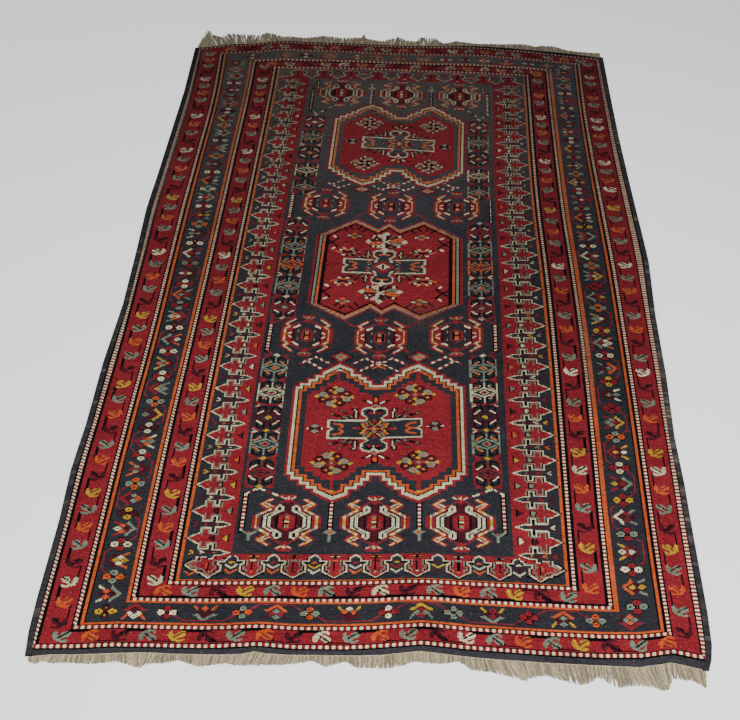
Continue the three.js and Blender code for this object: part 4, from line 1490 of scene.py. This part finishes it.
def selvedge(name, side, across, along, material, rng):
    """Yarn wrapped round the edge cords: a low ribbed band."""
    edge = 0 if side < 0 else -1
    inner = across[:, edge] + side * PIECE_GAP
    y = along[:, edge]
    shares = np.array([share for share, _ in SELVEDGE_SECTION] + [0.97, 0.03])
    heights = np.array([height for _, height in SELVEDGE_SECTION] + [0.1, 0.1])
    x = inner[:, None] + side * SELVEDGE_WIDTH * (1 - shares[None, :])
    turns = np.where(np.arange(ROWS + 1) % 2 == 0, RIDGE_HEIGHT, -RIDGE_HEIGHT)
    ridge = turns[:, None] * (heights[None, :] > 2)
    wobble = rng.normal(0, 0.16, x.shape) * (heights[None, :] > 2)
    slant = 1.2 * shares[None, :]
    ys = y[:, None] + slant * np.clip(np.minimum(y - y[0], y[-1] - y)[:, None] / 20, 0, 1)
    up = lift(x, ys) + np.maximum(FLOOR_GAP, heights[None, :] + ridge + wobble - RIDGE_HEIGHT)
    places = to_metres(x, ys, up)
    faces = grid_faces(ROWS + 1, len(shares), closed=True)
    if side > 0:
        faces = faces[:, ::-1]
    ends = []
    count = len(shares)
    for base, order in ((0, 1), (ROWS * count, -1)):
        for step in range(count // 2 - 1):
            quad = (base + step, base + step + 1, base + count - 2 - step, base + count - 1 - step)
            ends.append(quad[::order * (1 if side < 0 else -1)])
    faces = np.concatenate([faces, np.array(ends)])
    rows = np.minimum(np.arange(len(faces)) // count, ROWS - 1)
    tone = to_linear(SELVEDGE_COLOURS[side])
    worn = to_linear(SELVEDGE_WORN)
    darker = SELVEDGE_DARKENING[side]
    worn_places = 0.3 * np.exp(-((y[:-1] - 560) / 330) ** 2) if side > 0 else 0
    wear = np.clip(rng.normal(-0.15, 0.2, ROWS // 4 + 1).repeat(4)[:ROWS] + worn_places, 0, 0.6)
    colours = tone + (worn - tone) * wear[rows][:, None]
    # Each turn's tone differs at random; towards the far end it is darkened as painted shade.
    colours = colours * (rng.uniform(0.7, 1.3, ROWS)[rows] * (1.05 - darker * rows / ROWS))[:, None]
    piece = add_mesh(name + "_yarn", places, faces, material, colours)
    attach(piece, "root")
    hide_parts(name)


# How far the fringe reaches past the bands, and its lean: sideways travel for each millimetre outwards.
NEAR_FRINGE = (
    (-8, -28, 0.4), (5, -34, 0.2), (20, -27, 0), (40, -33, -0.2), (70, -30, -0.1), (100, -33, 0.1),
    (160, -26, 0.2), (207, -38, 0.1), (225, -31, -0.3), (250, -28, -0.1), (278, -21, 0.1),
    (320, -34, 0.1), (375, -26, -0.3), (400, -30, -0.4), (430, -29, -0.5), (500, -26, -0.1),
    (535, -17, 0.2), (565, -30, 0), (599, -17, 0), (622, -30, 0.2), (675, -30, 0), (735, -16, 0),
    (790, -19, 0.2), (822, -13, 0), (842, -30, 0.2), (880, -34, 0.4), (925, -47, 0.4), (985, -38, 0.2),
    (1045, -56, 0.3), (1090, -40, 0.1), (1120, -61, 0.3), (1160, -53, 0.5), (1195, -62, 0.3),
    (1216, -60, 0.1), (1233, -38, -0.1), (1262, -43, 0.4), (1291, -56, 0.1), (1303, -42, -0.2),
)
FAR_FRINGE = (
    (-8, 2070, 0.1), (6, 2112, 0.05), (26, 2110, -0.15), (50, 2092, -0.4), (85, 2078, -0.5),
    (103, 2098, -0.4), (160, 2097, -0.1), (175, 2089, 0.1), (198, 2110, 0.1), (225, 2107, -0.3),
    (270, 2091, -0.3), (340, 2086, 0), (390, 2099, 0), (430, 2096, -0.2), (460, 2090, 0),
    (508, 2094, 0.4), (524, 2111, -0.1), (550, 2091, -0.3), (592, 2077, -0.1), (640, 2101, 0),
    (670, 2083, -0.1), (705, 2081, 0), (722, 2105, -0.1), (762, 2098, 0.1), (793, 2070, 0),
    (838, 2087, -0.1), (905, 2072, 0), (1060, 2079, 0), (1095, 2064, 0), (1125, 2074, -0.1),
    (1155, 2072, 0), (1180, 2055, 0.1), (1225, 2042, 0.1), (1303, 2037, -0.1),
)
FRINGE_INSET = -6.0            # below zero, because the fringe starts outside the cloth's corner
ROOT_STRIP = 4.5               # width of the knotted row at the strands' roots
STRANDS = 558
STRANDS_TO_CLUMP = 9
STRAND_STEPS = 8
STRAND_SIDES = 5
KNOT_STEPS = 4
# The far fringe's colour is darker than the near one's as painted shade of the far end.
NEAR_FRINGE_COLOUR = (154, 141, 113)
FAR_FRINGE_COLOUR = (112, 101, 82)


def tube(path, radii, turn, rng):
    """A closed strand along a path: rings of points whose oval section turns, as twisted yarn does."""
    steps = len(path)
    forward = np.gradient(path[:, :2], axis=0)
    forward /= np.linalg.norm(forward, axis=1)[:, None]
    sideways = np.stack([forward[:, 1], -forward[:, 0]], axis=1)
    angles = np.arange(STRAND_SIDES) * 2 * math.pi / STRAND_SIDES
    twist = turn * np.arange(steps)[:, None] + rng.uniform(0, 6)
    oval = 1 + 0.22 * np.cos(2 * (angles[None, :] - twist))
    reach = radii[:, None] * oval
    across = reach * np.cos(angles)[None, :]
    up = reach * np.sin(angles)[None, :]
    ring = np.empty((steps, STRAND_SIDES, 3))
    ring[:, :, 0] = path[:, None, 0] + sideways[:, None, 0] * across
    ring[:, :, 1] = path[:, None, 1] + sideways[:, None, 1] * across
    ring[:, :, 2] = path[:, None, 2] + up
    return ring


def fringe(name, table, edge_xs, edge_ys, outwards, colour, material, rng):
    """Twisted warp ends that leave a row of small knots at the cloth's end."""
    first = edge_xs[0] + FRINGE_INSET
    pitch = (edge_xs[-1] - FRINGE_INSET - first) / STRANDS
    rings = []
    colours = []
    faces = []
    count = 0
    tone = to_linear(colour)
    clump_places = np.arange(0, STRANDS + STRANDS_TO_CLUMP, STRANDS_TO_CLUMP)
    clump = np.interp(np.arange(STRANDS), clump_places, rng.normal(0, 1, STRANDS // STRANDS_TO_CLUMP + 1))
    for strand in range(STRANDS):
        x = first + pitch * (strand + 0.5)
        edge = np.interp(x, edge_xs, edge_ys)
        root = edge + outwards * PIECE_GAP
        reach = abs(read_table(table, 1, x) - root - outwards * ROOT_STRIP)
        length = max(7.0, reach * (0.97 + 0.03 * clump[strand] + 0.03 * rng.normal()))
        length = min(length, reach * 1.04 + 1)
        lean = read_table(table, 2, x) + 0.09 * clump[strand] + 0.04 * rng.normal()
        share = np.linspace(0, 1, STRAND_STEPS)
        along = root + outwards * (ROOT_STRIP * 0.6 + share * (length + ROOT_STRIP * 0.4))
        bend = rng.normal(0, 0.35)
        across = x + lean * length * share**1.3 + bend * np.sin(share * math.pi * 1.6) * (length / 22)
        radius = 1.6 * (1 - 0.1 * share) * rng.uniform(0.9, 1.15)
        radius[-1] = 0.8
        base = lift(np.array([x]), np.array([edge]))[0]
        up = base * (1 - share) + radius * 1.25 + 0.15 + rng.uniform(0, 1.3) * np.sin(share * math.pi)
        path = np.stack([across, along, up], axis=1)
        ring = tube(path, radius, 1.1, rng)
        strand_faces = grid_faces(STRAND_STEPS, STRAND_SIDES, closed=True)
        rings.append(ring.reshape(-1, 3))
        faces.append(strand_faces + count)
        light = rng.uniform(0.55, 1.42)
        dull = 1 - 0.4 * rng.uniform(0, 1, len(strand_faces))
        colours.append(tone[None, :] * light * dull[:, None])
        count += STRAND_STEPS * STRAND_SIDES
        # The knot at its root, lighter than the strands as a painted highlight
        turns = np.linspace(0, math.pi, KNOT_STEPS)
        knot_across = x + np.linspace(-1.6, 1.6, KNOT_STEPS) * outwards
        knot_along = root + outwards * (0.2 + ROOT_STRIP * 0.5 * (1 - np.cos(turns)))
        knot_path = np.stack([knot_across, knot_along, np.full(KNOT_STEPS, base + 1.75)], axis=1)
        knot = tube(knot_path, 0.4 + 0.85 * np.sin(turns), 0.4, rng)
        knot_faces = grid_faces(KNOT_STEPS, STRAND_SIDES, closed=True)
        rings.append(knot.reshape(-1, 3))
        faces.append(knot_faces + count)
        colours.append(np.tile(tone * rng.uniform(0.9, 1.6), (len(knot_faces), 1)))
        count += KNOT_STEPS * STRAND_SIDES
    places = np.concatenate(rings)
    flat = to_metres(places[:, 0], places[:, 1], np.maximum(places[:, 2], FLOOR_GAP))
    every = np.concatenate(faces)
    if outwards < 0:
        every = every[:, ::-1]
    piece = add_mesh(name + "_yarn", flat, every, material, np.concatenate(colours))
    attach(piece, "root")
    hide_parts(name)
    return piece


# The camera stands where the photograph was taken from, as far as its perspective tells.
FOCAL = 950.0                  # in the photograph's pixels
PHOTO_WIDTH = 740.0
PHOTO_HEIGHT = 720.0
PHOTO_CENTRE = (424.0, 360.0)  # where the camera's axis meets the photograph
SENSOR = 36.0
CAMERA_PLACE = (0.728, -0.704, 1.803)      # from the guard lines' corner, in metres
CAMERA_LOOK = (0.007, 0.6232, -0.782)
CAMERA_RIGHT = (0.9997, 0.0125, 0.019)


def add_camera():
    data = bpy.data.cameras.new("camera")
    data.sensor_width = SENSOR
    data.lens = FOCAL / PHOTO_WIDTH * SENSOR
    data.shift_x = (PHOTO_WIDTH / 2 - PHOTO_CENTRE[0]) / PHOTO_WIDTH
    data.shift_y = (PHOTO_CENTRE[1] - PHOTO_HEIGHT / 2) / PHOTO_WIDTH
    data.clip_start = 0.05
    camera = bpy.data.objects.new("camera", data)
    look = Vector(CAMERA_LOOK).normalized()
    right = Vector(CAMERA_RIGHT)
    right = (right - look * right.dot(look)).normalized()
    up = right.cross(look)
    place = Vector((CAMERA_PLACE[0] + GUARD_CORNER[0], CAMERA_PLACE[1] + GUARD_CORNER[1], CAMERA_PLACE[2]))
    camera.matrix_world = Matrix.Translation(place) @ Matrix((right, up, -look)).transposed().to_4x4()
    bpy.context.collection.objects.link(camera)
    bpy.context.scene.camera = camera


def add_floor():
    mesh = bpy.data.meshes.new("floor")
    half = 12.0
    corners = [(-half, -half, 0), (half, -half, 0), (half, half, 0), (-half, half, 0)]
    mesh.from_pydata(corners, [], [(0, 1, 2, 3)])
    material = bpy.data.materials.new("floor")
    material.use_nodes = True
    shader = material.node_tree.nodes["Principled BSDF"]
    shader.inputs["Base Color"].default_value = (0.86, 0.86, 0.85, 1)
    shader.inputs["Roughness"].default_value = 0.9
    shader.inputs["Specular IOR Level"].default_value = 0.1
    mesh.materials.append(material)
    floor = bpy.data.objects.new("floor", mesh)
    bpy.context.collection.objects.link(floor)


def add_light(name, place, target, width, power):
    data = bpy.data.lights.new(name, "AREA")
    data.shape = "SQUARE"
    data.size = width
    data.energy = power
    light = bpy.data.objects.new(name, data)
    light.location = place
    direction = Vector(target) - Vector(place)
    light.rotation_euler = direction.to_track_quat("-Z", "Y").to_euler()
    bpy.context.collection.objects.link(light)


def add_lights():
    add_light("key", (0.3, -1.6, 2.6), (0, -0.5, 0), 2.0, 137)
    add_light("fill", (-2.6, 1.2, 3.0), (0, 0, 0), 3.0, 39)
    world = bpy.data.worlds.new("studio")
    world.use_nodes = True
    background = world.node_tree.nodes["Background"]
    background.inputs["Color"].default_value = (0.95, 0.96, 1, 1)
    background.inputs["Strength"].default_value = 0.58
    bpy.context.scene.world = world


woven_pattern()
corner_xs = CHART_LEFT + np.arange(COLUMNS + 1) * COLUMN
corner_ys = CHART_NEAR + np.arange(ROWS + 1) * ROW
across, along = lie(corner_xs, corner_ys)
tops = pile_heights(across, along)
colours = knot_colours()

pile_wool = wool("pile wool", 420, 0.0008, 0.01)
selvedge_wool = wool("selvedge wool", 500, 0.0005, 0.01)
fringe_cotton = wool("fringe yarn", 700, 0.0004, 0.03)
pile_strips(across, along, tops, colours, pile_wool)
selvedge("selvedge_left", -1, across, along, selvedge_wool, np.random.default_rng(21))
selvedge("selvedge_right", 1, across, along, selvedge_wool, np.random.default_rng(22))
fringe_near = fringe(
    "fringe_near", NEAR_FRINGE, across[0], along[0], -1, NEAR_FRINGE_COLOUR, fringe_cotton,
    np.random.default_rng(23),
)
fringe_far = fringe(
    "fringe_far", FAR_FRINGE, across[-1], along[-1], 1, FAR_FRINGE_COLOUR, fringe_cotton,
    np.random.default_rng(24),
)
back(across, along, tops, pile_wool)

add_floor()
add_lights()
add_camera()
